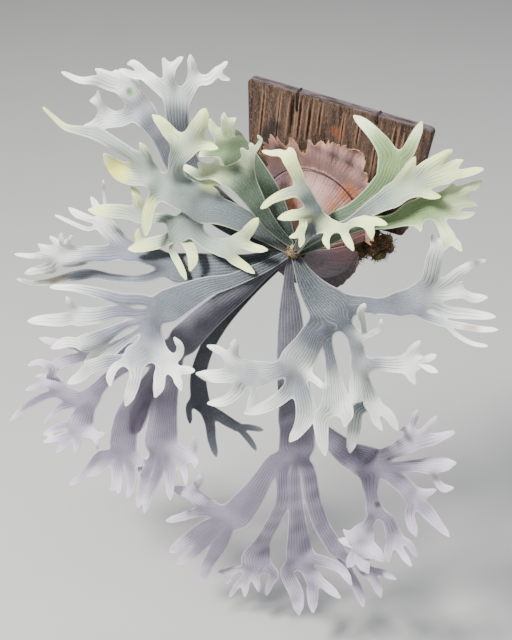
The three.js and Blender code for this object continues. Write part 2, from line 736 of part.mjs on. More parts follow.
const frondVeined = arm([[-1, 123, 12, 10], [-12, 126, 36, 21], [-36, 129, 71, 40], [-61, 131, 102, 44], [-76, 132, 124, 40]], [
  arm([[-113, 131, 116, 15], [-136, 127, 107, 11], [-155, 124, 102, 8]]),
  arm([[-84, 134, 143, 30]], [
    arm([[-85, 137, 160, 16]], [
      arm([[-89, 139, 172, 7], [-88, 140, 181, 5]]),
      arm([[-79, 138, 172, 6], [-73, 138, 177, 5]]),
    ]),
    arm([[-104, 136, 149, 11], [-110, 138, 165, 7]]),
  ]),
]);

const frondCurled = arm([[-2, 128, 15, 9], [-16, 139, 36, 14], [-32, 147, 62, 20], [-44, 151, 84, 26], [-54, 152, 98, 32],
  [-60, 152, 105, 37]], [
  arm([[-77, 157, 105, 21]], [
    arm([[-88, 161, 121, 6], [-84, 165, 132, 5]]),
    arm([[-99, 156, 104, 18]], [
      arm([[-109, 158, 110, 9], [-114, 162, 116, 5]]),
      arm([[-115, 156, 93, 10], [-129, 158, 99, 9], [-142, 158, 102, 6]]),
    ]),
  ]),
  arm([[-48, 158, 125, 14], [-42, 158, 142, 11]], [
    arm([[-47, 162, 149, 6], [-48, 168, 158, 5]]),
    arm([[-39, 159, 157, 5], [-38, 165, 166, 5]]),
    arm([[-32, 157, 159, 5], [-26, 160, 172, 3], [-28, 165, 179, 3]]),
  ]),
]);

const frondLeft = arm([[-5, 123, 0, 9], [-35, 131, -18, 18], [-59, 141, -30, 26], [-90, 150, -38, 31],
  [-121, 160, -45, 37], [-148, 167, -52, 40]], [
  arm([[-178, 170, -44, 24], [-202, 173, -44, 24], [-222, 176, -44, 27]], [
    arm([[-242, 174, -31, 23], [-258, 173, -18, 24]], [
      arm([[-258, 170, 4, 7], [-259, 170, 28, 4], [-256, 172, 54, 3]]),
      arm([[-272, 168, -3, 9], [-279, 166, 7, 9], [-285, 165, 15, 7]]),
      arm([[-289, 174, -14, 9], [-305, 175, -12, 10], [-317, 176, -6, 5]]),
      arm([[-287, 177, -30, 5], [-312, 183, -23, 5], [-331, 190, -14, 4]]),
    ]),
    arm([[-251, 184, -54, 22], [-276, 191, -59, 22], [-299, 198, -66, 27], [-310, 202, -67, 30]], [
      arm([[-314, 205, -50, 12]], [
        arm([[-299, 206, -33, 4], [-292, 207, -24, 4]]),
        arm([[-309, 208, -36, 7], [-306, 210, -24, 5]]),
        arm([[-323, 207, -42, 7], [-329, 209, -37, 4]]),
      ]),
      arm([[-336, 208, -62, 12], [-342, 210, -59, 8], [-349, 212, -55, 5]]),
      arm([[-339, 210, -72, 10], [-364, 215, -78, 7], [-387, 220, -80, 4]]),
      arm([[-340, 204, -97, 13], [-361, 207, -106, 10], [-383, 210, -117, 9]]),
    ]),
  ]),
  arm([[-179, 166, -73, 12], [-213, 167, -93, 11], [-258, 172, -104, 11], [-288, 178, -105, 13],
    [-320, 184, -118, 13], [-355, 192, -134, 9], [-383, 200, -141, 6], [-403, 208, -136, 4]]),
]);

const frondLeftLow = arm([[-3, 128, -1, 9], [-28, 138, -22, 14], [-47, 150, -34, 16], [-69, 164, -46, 18],
  [-95, 178, -56, 26], [-121, 192, -73, 37], [-143, 202, -90, 45]], [
  arm([[-180, 209, -89, 15], [-210, 214, -96, 16], [-242, 220, -94, 14], [-278, 226, -95, 10],
    [-319, 232, -104, 6]]),
  arm([[-186, 212, -112, 12], [-214, 220, -115, 16], [-246, 228, -129, 22], [-270, 234, -136, 25]], [
    arm([[-280, 238, -118, 10], [-283, 242, -102, 7]]),
    arm([[-302, 240, -150, 18], [-328, 248, -155, 14], [-349, 254, -161, 7]]),
  ]),
  arm([[-184, 217, -123, 8], [-201, 222, -131, 10], [-217, 229, -143, 14], [-237, 236, -159, 22],
    [-257, 243, -171, 25]], [
    arm([[-289, 248, -179, 14], [-311, 254, -194, 11]]),
  ]),
  arm([[-177, 216, -131, 7], [-191, 219, -145, 8], [-206, 223, -161, 12], [-226, 228, -182, 18],
    [-249, 231, -203, 23], [-270, 233, -218, 13]]),
  arm([[-162, 214, -130, 23], [-160, 223, -149, 34]], [
    arm([[-179, 234, -170, 35]], [
      arm([[-224, 246, -189, 18], [-246, 254, -203, 18], [-261, 260, -222, 15], [-279, 266, -237, 10]]),
      arm([[-207, 252, -192, 11], [-208, 258, -199, 11], [-205, 264, -211, 8]]),
      arm([[-171, 248, -187, 16], [-173, 256, -207, 16], [-180, 264, -235, 12]]),
    ]),
    arm([[-137, 229, -158, 24]], [
      arm([[-135, 242, -179, 16], [-132, 250, -190, 15], [-134, 257, -204, 11]]),
      arm([[-117, 236, -164, 16]], [
        arm([[-105, 243, -173, 11], [-97, 248, -183, 9]]),
        arm([[-95, 240, -153, 11], [-78, 244, -144, 8]]),
      ]),
      arm([[-113, 230, -144, 11], [-108, 230, -124, 9], [-115, 232, -112, 7]]),
    ]),
  ]),
]);

const frondPink = arm([[-5, 120, -6, 9], [-18, 124, -21, 12], [-33, 129, -37, 14], [-62, 138, -70, 24],
  [-93, 148, -105, 32], [-123, 158, -142, 39], [-145, 166, -174, 43]], [
  arm([[-202, 170, -200, 11], [-253, 180, -227, 13], [-293, 188, -245, 15]], [
    arm([[-323, 195, -237, 12], [-352, 201, -239, 12], [-378, 206, -237, 7]]),
    arm([[-325, 192, -264, 15], [-357, 193, -286, 17], [-382, 193, -309, 12]]),
  ]),
  arm([[-201, 174, -223, 22], [-247, 182, -257, 18], [-278, 190, -292, 19], [-302, 198, -329, 26]], [
    arm([[-345, 203, -336, 20]], [
      arm([[-369, 208, -316, 23]], [
        arm([[-359, 210, -284, 12], [-378, 214, -278, 9], [-399, 218, -290, 6]]),
        arm([[-379, 213, -307, 6], [-390, 217, -311, 5]]),
        arm([[-390, 214, -331, 9], [-411, 220, -344, 6]]),
      ]),
      arm([[-372, 212, -343, 12], [-392, 216, -358, 12], [-420, 222, -384, 9], [-447, 230, -419, 6]]),
    ]),
    arm([[-362, 210, -372, 12], [-375, 214, -392, 9], [-386, 218, -406, 6]]),
    arm([[-311, 206, -360, 31], [-318, 210, -381, 40]], [
      arm([[-351, 213, -398, 11], [-391, 215, -433, 10]]),
      arm([[-349, 221, -414, 9], [-381, 230, -433, 8]]),
      arm([[-343, 220, -423, 11], [-360, 226, -448, 10]]),
      arm([[-320, 218, -409, 11], [-324, 224, -434, 8]]),
      arm([[-295, 212, -389, 15]], [
        arm([[-285, 216, -394, 8], [-281, 220, -408, 6]]),
        arm([[-279, 212, -384, 9], [-269, 214, -375, 8]]),
      ]),
    ]),
  ]),
  arm([[-193, 178, -247, 17], [-211, 186, -285, 25], [-231, 196, -326, 33], [-238, 204, -364, 39],
    [-238, 209, -385, 41]], [
    arm([[-281, 216, -426, 14], [-306, 224, -468, 13], [-337, 232, -506, 8]]),
    arm([[-268, 218, -431, 16], [-285, 224, -455, 13], [-296, 228, -468, 8]]),
    arm([[-247, 218, -434, 19], [-244, 226, -456, 16]], [
      arm([[-250, 230, -469, 8], [-254, 233, -473, 6]]),
      arm([[-238, 230, -465, 8], [-238, 234, -472, 6]]),
    ]),
    arm([[-223, 216, -419, 15], [-217, 222, -441, 14], [-222, 230, -476, 8]]),
    arm([[-211, 206, -411, 17]], [
      arm([[-208, 207, -428, 11], [-203, 208, -442, 8]]),
      arm([[-193, 204, -401, 9], [-182, 203, -397, 6]]),
    ]),
  ]),
  arm([[-192, 158, -267, 9], [-214, 166, -310, 19], [-229, 170, -353, 24], [-235, 173, -385, 20]]),
  arm([[-157, 175, -226, 19], [-167, 184, -263, 32], [-170, 194, -306, 41], [-170, 204, -348, 50]], [
    arm([[-191, 216, -411, 15], [-197, 224, -447, 14], [-204, 230, -487, 9]]),
    arm([[-171, 216, -409, 15], [-183, 224, -448, 12], [-191, 232, -490, 9]]),
    arm([[-149, 212, -393, 18], [-147, 220, -417, 13], [-144, 226, -441, 9]]),
    arm([[-130, 210, -373, 15], [-121, 216, -386, 9], [-116, 222, -399, 7]]),
    arm([[-120, 208, -351, 20]], [
      arm([[-107, 210, -328, 9], [-105, 212, -306, 6]]),
      arm([[-105, 212, -354, 10], [-104, 215, -363, 7]]),
    ]),
  ]),
]);

const frondDark = arm([[-7, 118, -10, 9], [-20, 119, -29, 10], [-44, 120, -60, 13], [-77, 126, -107, 16],
  [-106, 134, -156, 18], [-128, 140, -208, 20], [-139, 144, -259, 23], [-136, 147, -298, 27]], [
  arm([[-153, 148, -315, 10], [-152, 152, -348, 6]]),
  arm([[-120, 148, -330, 15], [-115, 150, -367, 12], [-107, 152, -395, 8]]),
  arm([[-97, 148, -315, 16], [-72, 150, -318, 13]], [
    arm([[-52, 150, -332, 9], [-37, 152, -348, 6]]),
    arm([[-49, 150, -310, 9], [-26, 152, -302, 6]]),
  ]),
]);

const frondHanging = arm([[-1, 123, -6, 9], [-2, 126, -28, 12], [-2, 128, -48, 14], [3, 133, -78, 26], [12, 144, -126, 37],
  [20, 152, -178, 42], [28, 158, -224, 44], [31, 160, -245, 45]], [
  arm([[34, 162, -269, 47], [35, 163, -292, 50]], [
    arm([[3, 170, -336, 23], [-13, 176, -376, 29], [-31, 184, -421, 39], [-47, 190, -454, 47]], [
      arm([[-109, 198, -450, 23], [-120, 200, -441, 21]], [
        arm([[-107, 204, -408, 12], [-97, 208, -380, 9]]),
        arm([[-136, 206, -437, 14], [-150, 212, -432, 9]]),
      ]),
      arm([[-109, 200, -474, 15], [-139, 206, -497, 12], [-164, 212, -514, 9]]),
      arm([[-100, 200, -502, 19], [-130, 206, -545, 22], [-162, 212, -587, 11]]),
      arm([[-96, 200, -527, 19], [-119, 206, -568, 16], [-150, 212, -609, 10]]),
      arm([[-79, 198, -543, 23], [-93, 204, -578, 19], [-106, 210, -637, 11]]),
    ]),
    arm([[16, 167, -348, 17], [19, 170, -407, 21], [2, 172, -469, 21], [-14, 174, -522, 25],
      [-23, 176, -561, 47]], [
      arm([[-68, 182, -611, 13]], [
        arm([[-82, 184, -615, 8], [-88, 186, -616, 6]]),
        arm([[-71, 184, -630, 10], [-72, 185, -638, 6]]),
      ]),
      arm([[-57, 183, -640, 8], [-67, 185, -668, 7]]),
      arm([[-37, 182, -611, 11], [-38, 187, -646, 11]]),
      arm([[-21, 180, -599, 11], [-12, 186, -621, 8]]),
      arm([[7, 173, -574, 14], [0, 172, -609, 11], [-8, 171, -642, 6]]),
    ]),
    arm([[33, 161, -358, 14], [37, 164, -403, 20], [44, 167, -461, 30], [49, 168, -514, 42]], [
      arm([[31, 172, -567, 22], [49, 178, -591, 22], [59, 184, -632, 13]]),
      arm([[74, 172, -545, 23]], [
        arm([[78, 178, -567, 17], [83, 184, -611, 12]]),
        arm([[90, 172, -550, 14], [123, 176, -560, 11]]),
      ]),
      arm([[97, 171, -500, 16], [122, 175, -496, 13], [141, 180, -512, 9]]),
    ]),
    arm([[51, 156, -341, 19], [62, 158, -395, 23], [82, 158, -448, 24], [103, 158, -476, 24]], [
      arm([[129, 158, -522, 15], [144, 160, -545, 14], [156, 162, -574, 9]]),
      arm([[152, 154, -501, 18]], [
        arm([[169, 156, -516, 13], [181, 158, -540, 9]]),
        arm([[177, 150, -496, 10], [198, 149, -498, 7]]),
      ]),
    ]),
  ]),
  arm([[65, 154, -253, 16], [87, 152, -271, 28], [114, 150, -286, 37], [135, 148, -289, 45]], [
    arm([[169, 147, -255, 19], [190, 143, -232, 25]], [
      arm([[192, 142, -210, 12]], [
        arm([[183, 143, -208, 7], [178, 144, -211, 5]]),
        arm([[194, 142, -187, 9], [197, 143, -169, 6]]),
      ]),
      arm([[211, 138, -198, 9], [222, 138, -172, 8]]),
      arm([[217, 136, -217, 16], [233, 134, -204, 10], [247, 133, -191, 8]]),
    ]),
    arm([[184, 139, -280, 15], [199, 136, -274, 16], [220, 132, -267, 21]], [
      arm([[235, 128, -261, 19], [252, 126, -251, 12]]),
      arm([[230, 128, -293, 8], [242, 126, -304, 11], [254, 124, -299, 8]]),
    ]),
    arm([[175, 142, -305, 21], [190, 140, -314, 23], [205, 138, -328, 25]], [
      arm([[218, 134, -321, 11], [233, 132, -307, 7]]),
      arm([[228, 138, -348, 18], [248, 140, -363, 12], [264, 142, -373, 7]]),
      arm([[204, 142, -361, 13], [211, 146, -378, 13], [220, 150, -390, 8]]),
    ]),
    arm([[144, 149, -323, 24], [148, 152, -342, 18], [156, 156, -362, 21]], [
      arm([[152, 162, -394, 17], [146, 166, -417, 29]], [
        arm([[128, 168, -425, 9], [118, 169, -417, 6]]),
        arm([[147, 169, -437, 34]], [
          arm([[127, 171, -436, 12], [113, 172, -438, 6]]),
          arm([[138, 174, -463, 17], [132, 177, -481, 7]]),
          arm([[152, 174, -457, 20], [165, 178, -474, 9]]),
          arm([[168, 170, -434, 19], [186, 172, -443, 7]]),
        ]),
      ]),
      arm([[178, 156, -374, 17], [190, 158, -397, 22]], [
        arm([[186, 161, -426, 11], [187, 162, -451, 9]]),
        arm([[205, 163, -417, 10], [225, 170, -430, 8]]),
        arm([[211, 154, -406, 10], [225, 151, -430, 6]]),
      ]),
    ]),
  ]),
]);

const frondCentre = arm([[5, 126, -2, 10], [13, 129, -13, 15], [26, 134, -27, 25], [49, 142, -42, 41], [72, 150, -49, 55]], [
  arm([[54, 162, -80, 26], [49, 170, -103, 36], [39, 176, -126, 44]], [
    arm([[18, 190, -142, 23], [-2, 198, -151, 28]], [
      arm([[-10, 210, -191, 9], [-14, 214, -208, 7]]),
      arm([[-19, 204, -152, 33]], [
        arm([[-40, 208, -139, 20]], [
          arm([[-37, 210, -116, 12], [-34, 212, -97, 9]]),
          arm([[-59, 212, -124, 10], [-73, 216, -120, 8]]),
        ]),
        arm([[-49, 212, -164, 19], [-70, 218, -169, 16], [-88, 222, -170, 11]]),
        arm([[-31, 211, -184, 15], [-49, 218, -205, 13], [-72, 222, -216, 8]]),
      ]),
    ]),
    arm([[32, 193, -173, 18], [18, 202, -190, 17], [-2, 208, -207, 13], [-19, 214, -216, 7]]),
    arm([[55, 192, -162, 21], [66, 200, -186, 26], [62, 208, -210, 17], [51, 214, -234, 9]]),
    arm([[78, 190, -138, 8], [90, 196, -138, 5]]),
  ]),
  arm([[73, 158, -100, 12], [81, 164, -120, 15], [93, 176, -144, 23], [101, 186, -160, 35]], [
    arm([[88, 198, -188, 21], [93, 206, -207, 17], [102, 212, -236, 11]]),
    arm([[118, 190, -166, 18], [121, 196, -188, 12]]),
  ]),
  arm([[99, 151, -71, 15]], [
    arm([[113, 156, -93, 18], [120, 160, -110, 22]], [
      arm([[118, 167, -139, 14], [122, 174, -153, 13], [120, 178, -163, 6]]),
      arm([[130, 160, -141, 15], [141, 160, -166, 22]], [
        arm([[163, 158, -178, 13], [179, 158, -199, 8]]),
        arm([[149, 166, -185, 10], [161, 168, -199, 8]]),
        arm([[124, 164, -184, 16], [122, 168, -218, 17], [120, 172, -256, 9]]),
      ]),
      arm([[148, 164, -95, 17], [168, 168, -85, 19], [187, 172, -73, 22]], [
        arm([[192, 172, -52, 12], [200, 172, -32, 7]]),
        arm([[204, 176, -60, 16]], [
          arm([[216, 178, -47, 8], [225, 180, -38, 6]]),
          arm([[218, 178, -63, 8], [229, 180, -62, 6]]),
        ]),
        arm([[195, 176, -86, 10], [202, 178, -94, 7]]),
      ]),
    ]),
    arm([[117, 151, -72, 10]], [
      arm([[117, 154, -49, 7], [116, 161, -29, 9], [124, 168, -8, 7]]),
      arm([[131, 152, -61, 7], [141, 156, -48, 6], [145, 162, -28, 5]]),
    ]),
  ]),
  arm([[103, 148, -29, 21], [134, 144, -23, 21], [159, 138, -14, 27]], [
    arm([[180, 133, 1, 34]], [
      arm([[190, 133, 33, 18], [191, 132, 56, 19], [194, 132, 79, 16]], [
        arm([[188, 133, 86, 5], [187, 134, 94, 3]]),
        arm([[203, 132, 93, 6], [208, 132, 103, 5]]),
      ]),
      arm([[210, 126, 31, 13], [223, 122, 49, 11], [236, 118, 61, 7], [248, 114, 67, 3]]),
      arm([[211, 124, 11, 13], [222, 122, 17, 14]], [
        arm([[225, 120, 28, 5], [226, 120, 32, 4]]),
        arm([[240, 116, 11, 11], [255, 112, 15, 7]]),
      ]),
      arm([[210, 127, -13, 13], [240, 121, -10, 12], [269, 115, -7, 7]]),
    ]),
    arm([[189, 138, -21, 10], [213, 139, -20, 11]], [
      arm([[237, 137, -18, 8], [259, 136, -15, 7], [280, 134, -9, 5]]),
      arm([[235, 143, -29, 5], [257, 146, -31, 5], [275, 148, -26, 4]]),
    ]),
  ]),
]);

const frondFront = arm([[9, 131, 10, 10], [32, 145, 51, 15], [58, 160, 82, 19]], [
  arm([[49, 163, 99, 14]], [
    arm([[38, 170, 94, 12]], [
      arm([[25, 175, 91, 12], [10, 181, 85, 5]]),
      arm([[40, 174, 81, 9], [38, 176, 74, 9]], [
        arm([[33, 178, 67, 6], [25, 179, 62, 5]]),
        arm([[41, 178, 64, 7], [39, 179, 53, 5]]),
      ]),
    ]),
    arm([[36, 168, 123, 17]], [
      arm([[14, 172, 115, 12], [0, 176, 106, 9], [-14, 180, 91, 6]]),
      arm([[27, 168, 143, 14], [17, 168, 160, 16]], [
        arm([[4, 168, 165, 8], [-7, 168, 162, 6], [-20, 168, 161, 3]]),
        arm([[16, 164, 169, 9], [12, 162, 171, 5]]),
      ]),
    ]),
  ]),
  arm([[74, 165, 86, 14]], [
    arm([[71, 175, 71, 8], [77, 179, 64, 8]]),
    arm([[88, 168, 89, 10]], [
      arm([[97, 174, 82, 9], [109, 180, 73, 7]]),
      arm([[103, 169, 103, 9], [116, 170, 109, 13]], [
        arm([[125, 172, 101, 9], [129, 175, 92, 5]]),
        arm([[130, 170, 114, 9], [144, 170, 114, 5]]),
      ]),
    ]),
  ]),
]);

const frondRightUp = arm([[6, 123, 5, 9], [38, 130, 52, 12], [64, 136, 79, 14], [86, 134, 95, 19], [104, 130, 112, 26],
  [115, 124, 129, 28], [119, 118, 144, 25], [120, 114, 152, 30]], [
  arm([[110, 108, 169, 20], [92, 102, 182, 15], [77, 98, 189, 12], [62, 96, 195, 7]]),
  arm([[135, 104, 172, 15], [139, 98, 187, 12], [144, 92, 207, 8]]),
]);

const frondRightFar = arm([[7, 127, 7, 9], [56, 144, 60, 11], [94, 156, 93, 13], [118, 156, 120, 18], [141, 154, 142, 25]], [
  arm([[150, 153, 169, 9], [157, 152, 182, 9], [163, 151, 197, 5]]),
  arm([[160, 150, 157, 22]], [
    arm([[173, 148, 184, 13], [186, 147, 197, 12], [202, 146, 214, 7]]),
    arm([[182, 147, 171, 16], [197, 144, 180, 19]], [
      arm([[202, 142, 192, 9], [213, 140, 202, 6]]),
      arm([[214, 140, 185, 9], [225, 137, 190, 8], [235, 134, 194, 5]]),
    ]),
    arm([[176, 148, 152, 8], [183, 149, 153, 8], [196, 149, 155, 4]]),
  ]),
]);

const frondRightLow = arm([[4, 119, -4, 9], [58, 132, 43, 11], [101, 142, 85, 15], [139, 144, 102, 16], [162, 142, 119, 23]], [
  arm([[173, 145, 107, 7], [177, 148, 103, 5]]),
  arm([[181, 140, 134, 27]], [
    arm([[201, 138, 153, 14]], [
      arm([[205, 140, 166, 4], [208, 142, 173, 3]]),
      arm([[215, 136, 161, 13], [224, 132, 167, 10], [234, 130, 177, 7]]),
    ]),
    arm([[207, 134, 137, 9], [219, 130, 144, 9], [231, 126, 142, 6]]),
    arm([[202, 134, 126, 8], [217, 130, 126, 7], [229, 126, 131, 6]]),
    arm([[199, 144, 118, 11], [209, 148, 107, 15]], [
      arm([[209, 150, 96, 8], [208, 152, 90, 6]]),
      arm([[222, 150, 102, 8], [229, 152, 96, 6]]),
    ]),
  ]),
]);


const fronds = {
  frond_tall: [frondTall, silverFrond],
  frond_back_left: [frondBackLeft, silverFrond],
  frond_bright: [frondBright, brightFrond],
  frond_veined: [frondVeined, greenFrond],
  frond_curled: [frondCurled, greenFrond],
  frond_left: [frondLeft, silverFrond],
  frond_left_low: [frondLeftLow, silverFrond],
  frond_pink: [frondPink, pinkFrond],
  frond_dark: [frondDark, shadeFrond],
  frond_hanging: [frondHanging, pinkFrond],
  frond_centre: [frondCentre, silverFrond],
  frond_front: [frondFront, brightFrond],
  frond_right_up: [frondRightUp, greenFrond],
  frond_right_far: [frondRightFar, brightFrond],
  frond_right_low: [frondRightLow, greenFrond],
};
for (const [name, [frond, material]] of Object.entries(fronds)) {
  addPiece(plant, name, frondGeometry(frond), material);
}

export default root;
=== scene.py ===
"""A mounted staghorn fern: a wooden slab, a root ball wired to it, two papery shield fronds
over the ball, a scaly crown and fifteen forked antler fronds, dressed on its solids."""
import json
import math

import bmesh
import bpy
import numpy as np
from mathutils import Matrix, Vector

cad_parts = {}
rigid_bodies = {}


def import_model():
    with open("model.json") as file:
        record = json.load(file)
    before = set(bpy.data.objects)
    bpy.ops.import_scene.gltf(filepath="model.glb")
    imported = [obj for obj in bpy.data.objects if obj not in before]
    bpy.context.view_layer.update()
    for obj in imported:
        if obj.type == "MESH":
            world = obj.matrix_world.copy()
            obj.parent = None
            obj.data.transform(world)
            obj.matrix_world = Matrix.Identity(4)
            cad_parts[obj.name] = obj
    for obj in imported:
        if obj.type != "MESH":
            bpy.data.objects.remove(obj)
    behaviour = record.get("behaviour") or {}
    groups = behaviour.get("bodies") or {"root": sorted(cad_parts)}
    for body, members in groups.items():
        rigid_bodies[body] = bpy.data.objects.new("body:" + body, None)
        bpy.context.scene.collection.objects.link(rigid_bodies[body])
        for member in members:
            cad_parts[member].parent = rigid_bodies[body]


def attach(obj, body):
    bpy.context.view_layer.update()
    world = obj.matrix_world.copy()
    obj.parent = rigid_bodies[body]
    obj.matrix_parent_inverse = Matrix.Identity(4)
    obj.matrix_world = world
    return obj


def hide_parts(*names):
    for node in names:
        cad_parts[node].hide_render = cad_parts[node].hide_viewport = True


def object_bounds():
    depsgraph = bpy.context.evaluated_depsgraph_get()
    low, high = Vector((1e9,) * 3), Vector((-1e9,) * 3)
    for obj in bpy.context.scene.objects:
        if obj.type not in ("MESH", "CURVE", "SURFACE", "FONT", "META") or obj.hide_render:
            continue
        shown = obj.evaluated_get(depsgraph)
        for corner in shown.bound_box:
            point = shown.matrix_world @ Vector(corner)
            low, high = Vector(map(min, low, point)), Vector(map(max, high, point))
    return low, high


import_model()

solid_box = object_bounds()

# ---------------------------------------------------------------------------- camera and studio
# The plant hangs above a plain pale floor. Its main light falls from the upper left, with a wide
# fill from the right, a soft light from above and one from behind the slab. The camera looks
# down on it from its right, a little over a metre away.
MM = 0.001
BUD = Vector((0.0, -125.0, -76.0)) * MM
EYE_TURN = math.radians(30.0)
EYE_RISE = math.radians(38.0)
EYE_DISTANCE = 1400.0 * MM
BUD_ASIDE = 45.8 * MM
BUD_ABOVE = 86.5 * MM
LENS = 61.875
FILM = 36.0
FLOOR_DROP = 0.06
FLOOR_SIZE = 9.0
VIEW_LIMIT = 30.0
SKY_COLOR = (0.86, 0.9, 0.96, 1.0)
SKY_STRENGTH = 0.2
LAMPS = [  # name, place, size, watts, colour
    ("key_light", (-1.0, -1.5, 2.0), 0.55, 225.0, (1.0, 0.985, 0.95)),
    ("fill_light", (1.9, -1.1, 0.7), 1.6, 8.0, (0.93, 0.96, 1.0)),
    ("back_light", (1.3, 1.5, 1.5), 1.2, 45.0, (0.95, 0.97, 1.0)),
    ("top_light", (0.1, -0.5, 2.2), 1.4, 30.0, (1.0, 1.0, 1.0)),
]

eye_back = Vector((
    math.sin(EYE_TURN) * math.cos(EYE_RISE),
    -math.cos(EYE_TURN) * math.cos(EYE_RISE),
    math.sin(EYE_RISE),
))
eye_right = Vector((math.cos(EYE_TURN), math.sin(EYE_TURN), 0.0))
eye_up = eye_back.cross(eye_right)
eye_spot = BUD + EYE_DISTANCE * eye_back - BUD_ASIDE * eye_right - BUD_ABOVE * eye_up

camera = bpy.data.objects.new("camera", bpy.data.cameras.new("camera"))
camera.data.lens = LENS
camera.data.sensor_width = FILM
camera.data.clip_end = VIEW_LIMIT
pose = Matrix((eye_right, eye_up, eye_back)).transposed().to_4x4()
pose.translation = eye_spot
camera.matrix_world = pose
bpy.context.scene.collection.objects.link(camera)
bpy.context.scene.camera = camera

for name, spot, size, watts, color in LAMPS:
    lamp = bpy.data.lights.new(name, "AREA")
    lamp.size = size
    lamp.energy = watts
    lamp.color = color
    holder = bpy.data.objects.new(name, lamp)
    holder.location = spot
    holder.rotation_euler = (Vector(spot) - BUD).to_track_quat("Z", "Y").to_euler()
    bpy.context.scene.collection.objects.link(holder)

sky = bpy.data.worlds.new("soft_studio")
sky.use_nodes = True
sky.node_tree.nodes["Background"].inputs["Color"].default_value = SKY_COLOR
sky.node_tree.nodes["Background"].inputs["Strength"].default_value = SKY_STRENGTH
bpy.context.scene.world = sky


class Value:
    """One output of a node tree, with arithmetic: an expression on values adds its Math nodes."""

    def __init__(self, bench, socket):
        self.bench = bench
        self.socket = socket

    def math(self, operation, other=0.0, third=0.0):
        return self.bench.add("ShaderNodeMath", {"operation": operation}, {0: self, 1: other, 2: third})

    def after(self, operation, first):
        return self.bench.add("ShaderNodeMath", {"operation": operation}, {0: first, 1: self})

    def __add__(self, other):
        return self.math("ADD", other)

    def __sub__(self, other):
        return self.math("SUBTRACT", other)

    def __rsub__(self, other):
        return self.after("SUBTRACT", other)

    def __mul__(self, other):
        return self.math("MULTIPLY", other)

    def __truediv__(self, other):
        return self.math("DIVIDE", other)


class Bench:
    """A node tree under construction; add() makes any node from its type, settings and sockets."""

    def __init__(self, tree):
        self.tree = tree

    def add(self, kind, settings=None, sockets=None, out=0):
        node = self.tree.nodes.new(kind)
        for name, value in (settings or {}).items():
            setattr(node, name, value)
        for key, value in (sockets or {}).items():
            if isinstance(value, Value):
                self.tree.links.new(value.socket, node.inputs[key])
            else:
                node.inputs[key].default_value = value
        return Value(self, node.outputs[out])


class Finish(Bench):
    """A material whose varying colour, roughness and relief are worked out by nodes.

    noise() is a cloudy value about 0.5, step() a smooth ramp between two levels, mix() blends two
    colours, attribute() reads a value that the mesh carries, and wear() puts the results on.
    """

    def __init__(self, name, **fixed):
        self.material = bpy.data.materials.new(name)
        self.material.use_nodes = True
        super().__init__(self.material.node_tree)
        self.shader = self.tree.nodes["Principled BSDF"]
        for socket, value in fixed.items():
            self.shader.inputs[socket.replace("_", " ")].default_value = value
        self.place = self.add("ShaderNodeTexCoord", out="Object")

    def noise(self, scale, detail=3.0, rough=0.55, bend=0.0, stretch=None):
        place = self.place
        if stretch:
            place = self.add("ShaderNodeMapping", {}, {"Vector": place, "Scale": stretch})
        sockets = {"Vector": place, "Scale": scale, "Detail": detail, "Roughness": rough,
                   "Distortion": bend}
        return self.add("ShaderNodeTexNoise", {}, sockets)

    def step(self, value, low, high, start=0.0, end=1.0):
        sockets = {"Value": value, "From Min": low, "From Max": high, "To Min": start, "To Max": end}
        return self.add("ShaderNodeMapRange", {"interpolation_type": "SMOOTHSTEP"}, sockets)

    def mix(self, amount, first, second, blend="MIX"):
        first, second = ((*c, 1.0) if isinstance(c, tuple) else c for c in (first, second))
        return self.add("ShaderNodeMix", {"data_type": "RGBA", "blend_type": blend},
                        {0: amount, 6: first, 7: second}, out=2)

    def attribute(self, name):
        return self.add("ShaderNodeAttribute", {"attribute_name": name}, out="Fac")

    def spot(self, centre, radius, soft=0.5, ragged=0.0):
        """1 inside a ball about a place given in millimetres, falling to 0 at its radius."""
        sockets = {0: self.place, 1: tuple(MM * c for c in centre)}
        away = self.add("ShaderNodeVectorMath", {"operation": "DISTANCE"}, sockets, out="Value")
        if ragged:
            away = away + (self.noise(1.2 / (MM * radius)) - 0.5) * (ragged * MM * radius)
        return self.step(away, MM * radius * (1.0 - soft), MM * radius, 1.0, 0.0)

    def wear(self, color=None, roughness=None, relief=None, height=0.0, strength=1.0):
        if color is not None:
            self.tree.links.new(color.socket, self.shader.inputs["Base Color"])
        if roughness is not None:
            self.tree.links.new(roughness.socket, self.shader.inputs["Roughness"])
        if relief is not None:
            sockets = {"Height": relief, "Distance": height, "Strength": strength}
            bump = self.add("ShaderNodeBump", {}, sockets)
            self.tree.links.new(bump.socket, self.shader.inputs["Normal"])
        return self.material


floor_finish = Finish("pale_floor", Roughness=0.85)
floor_tint = floor_finish.mix(floor_finish.noise(3.0), (0.43, 0.43, 0.425), (0.47, 0.47, 0.465))
floor_finish.wear(floor_tint)
floor_mesh = bpy.data.meshes.new("floor")
floor_level = solid_box[0][2] - FLOOR_DROP
floor_corners = [(x * FLOOR_SIZE / 2, y * FLOOR_SIZE / 2, floor_level)
                 for x, y in ((-1, -1), (1, -1), (1, 1), (-1, 1))]
floor_mesh.from_pydata(floor_corners, [], [(0, 1, 2, 3)])
floor_mesh.materials.append(floor_finish.material)
floor = bpy.data.objects.new("floor", floor_mesh)
bpy.context.scene.collection.objects.link(floor)

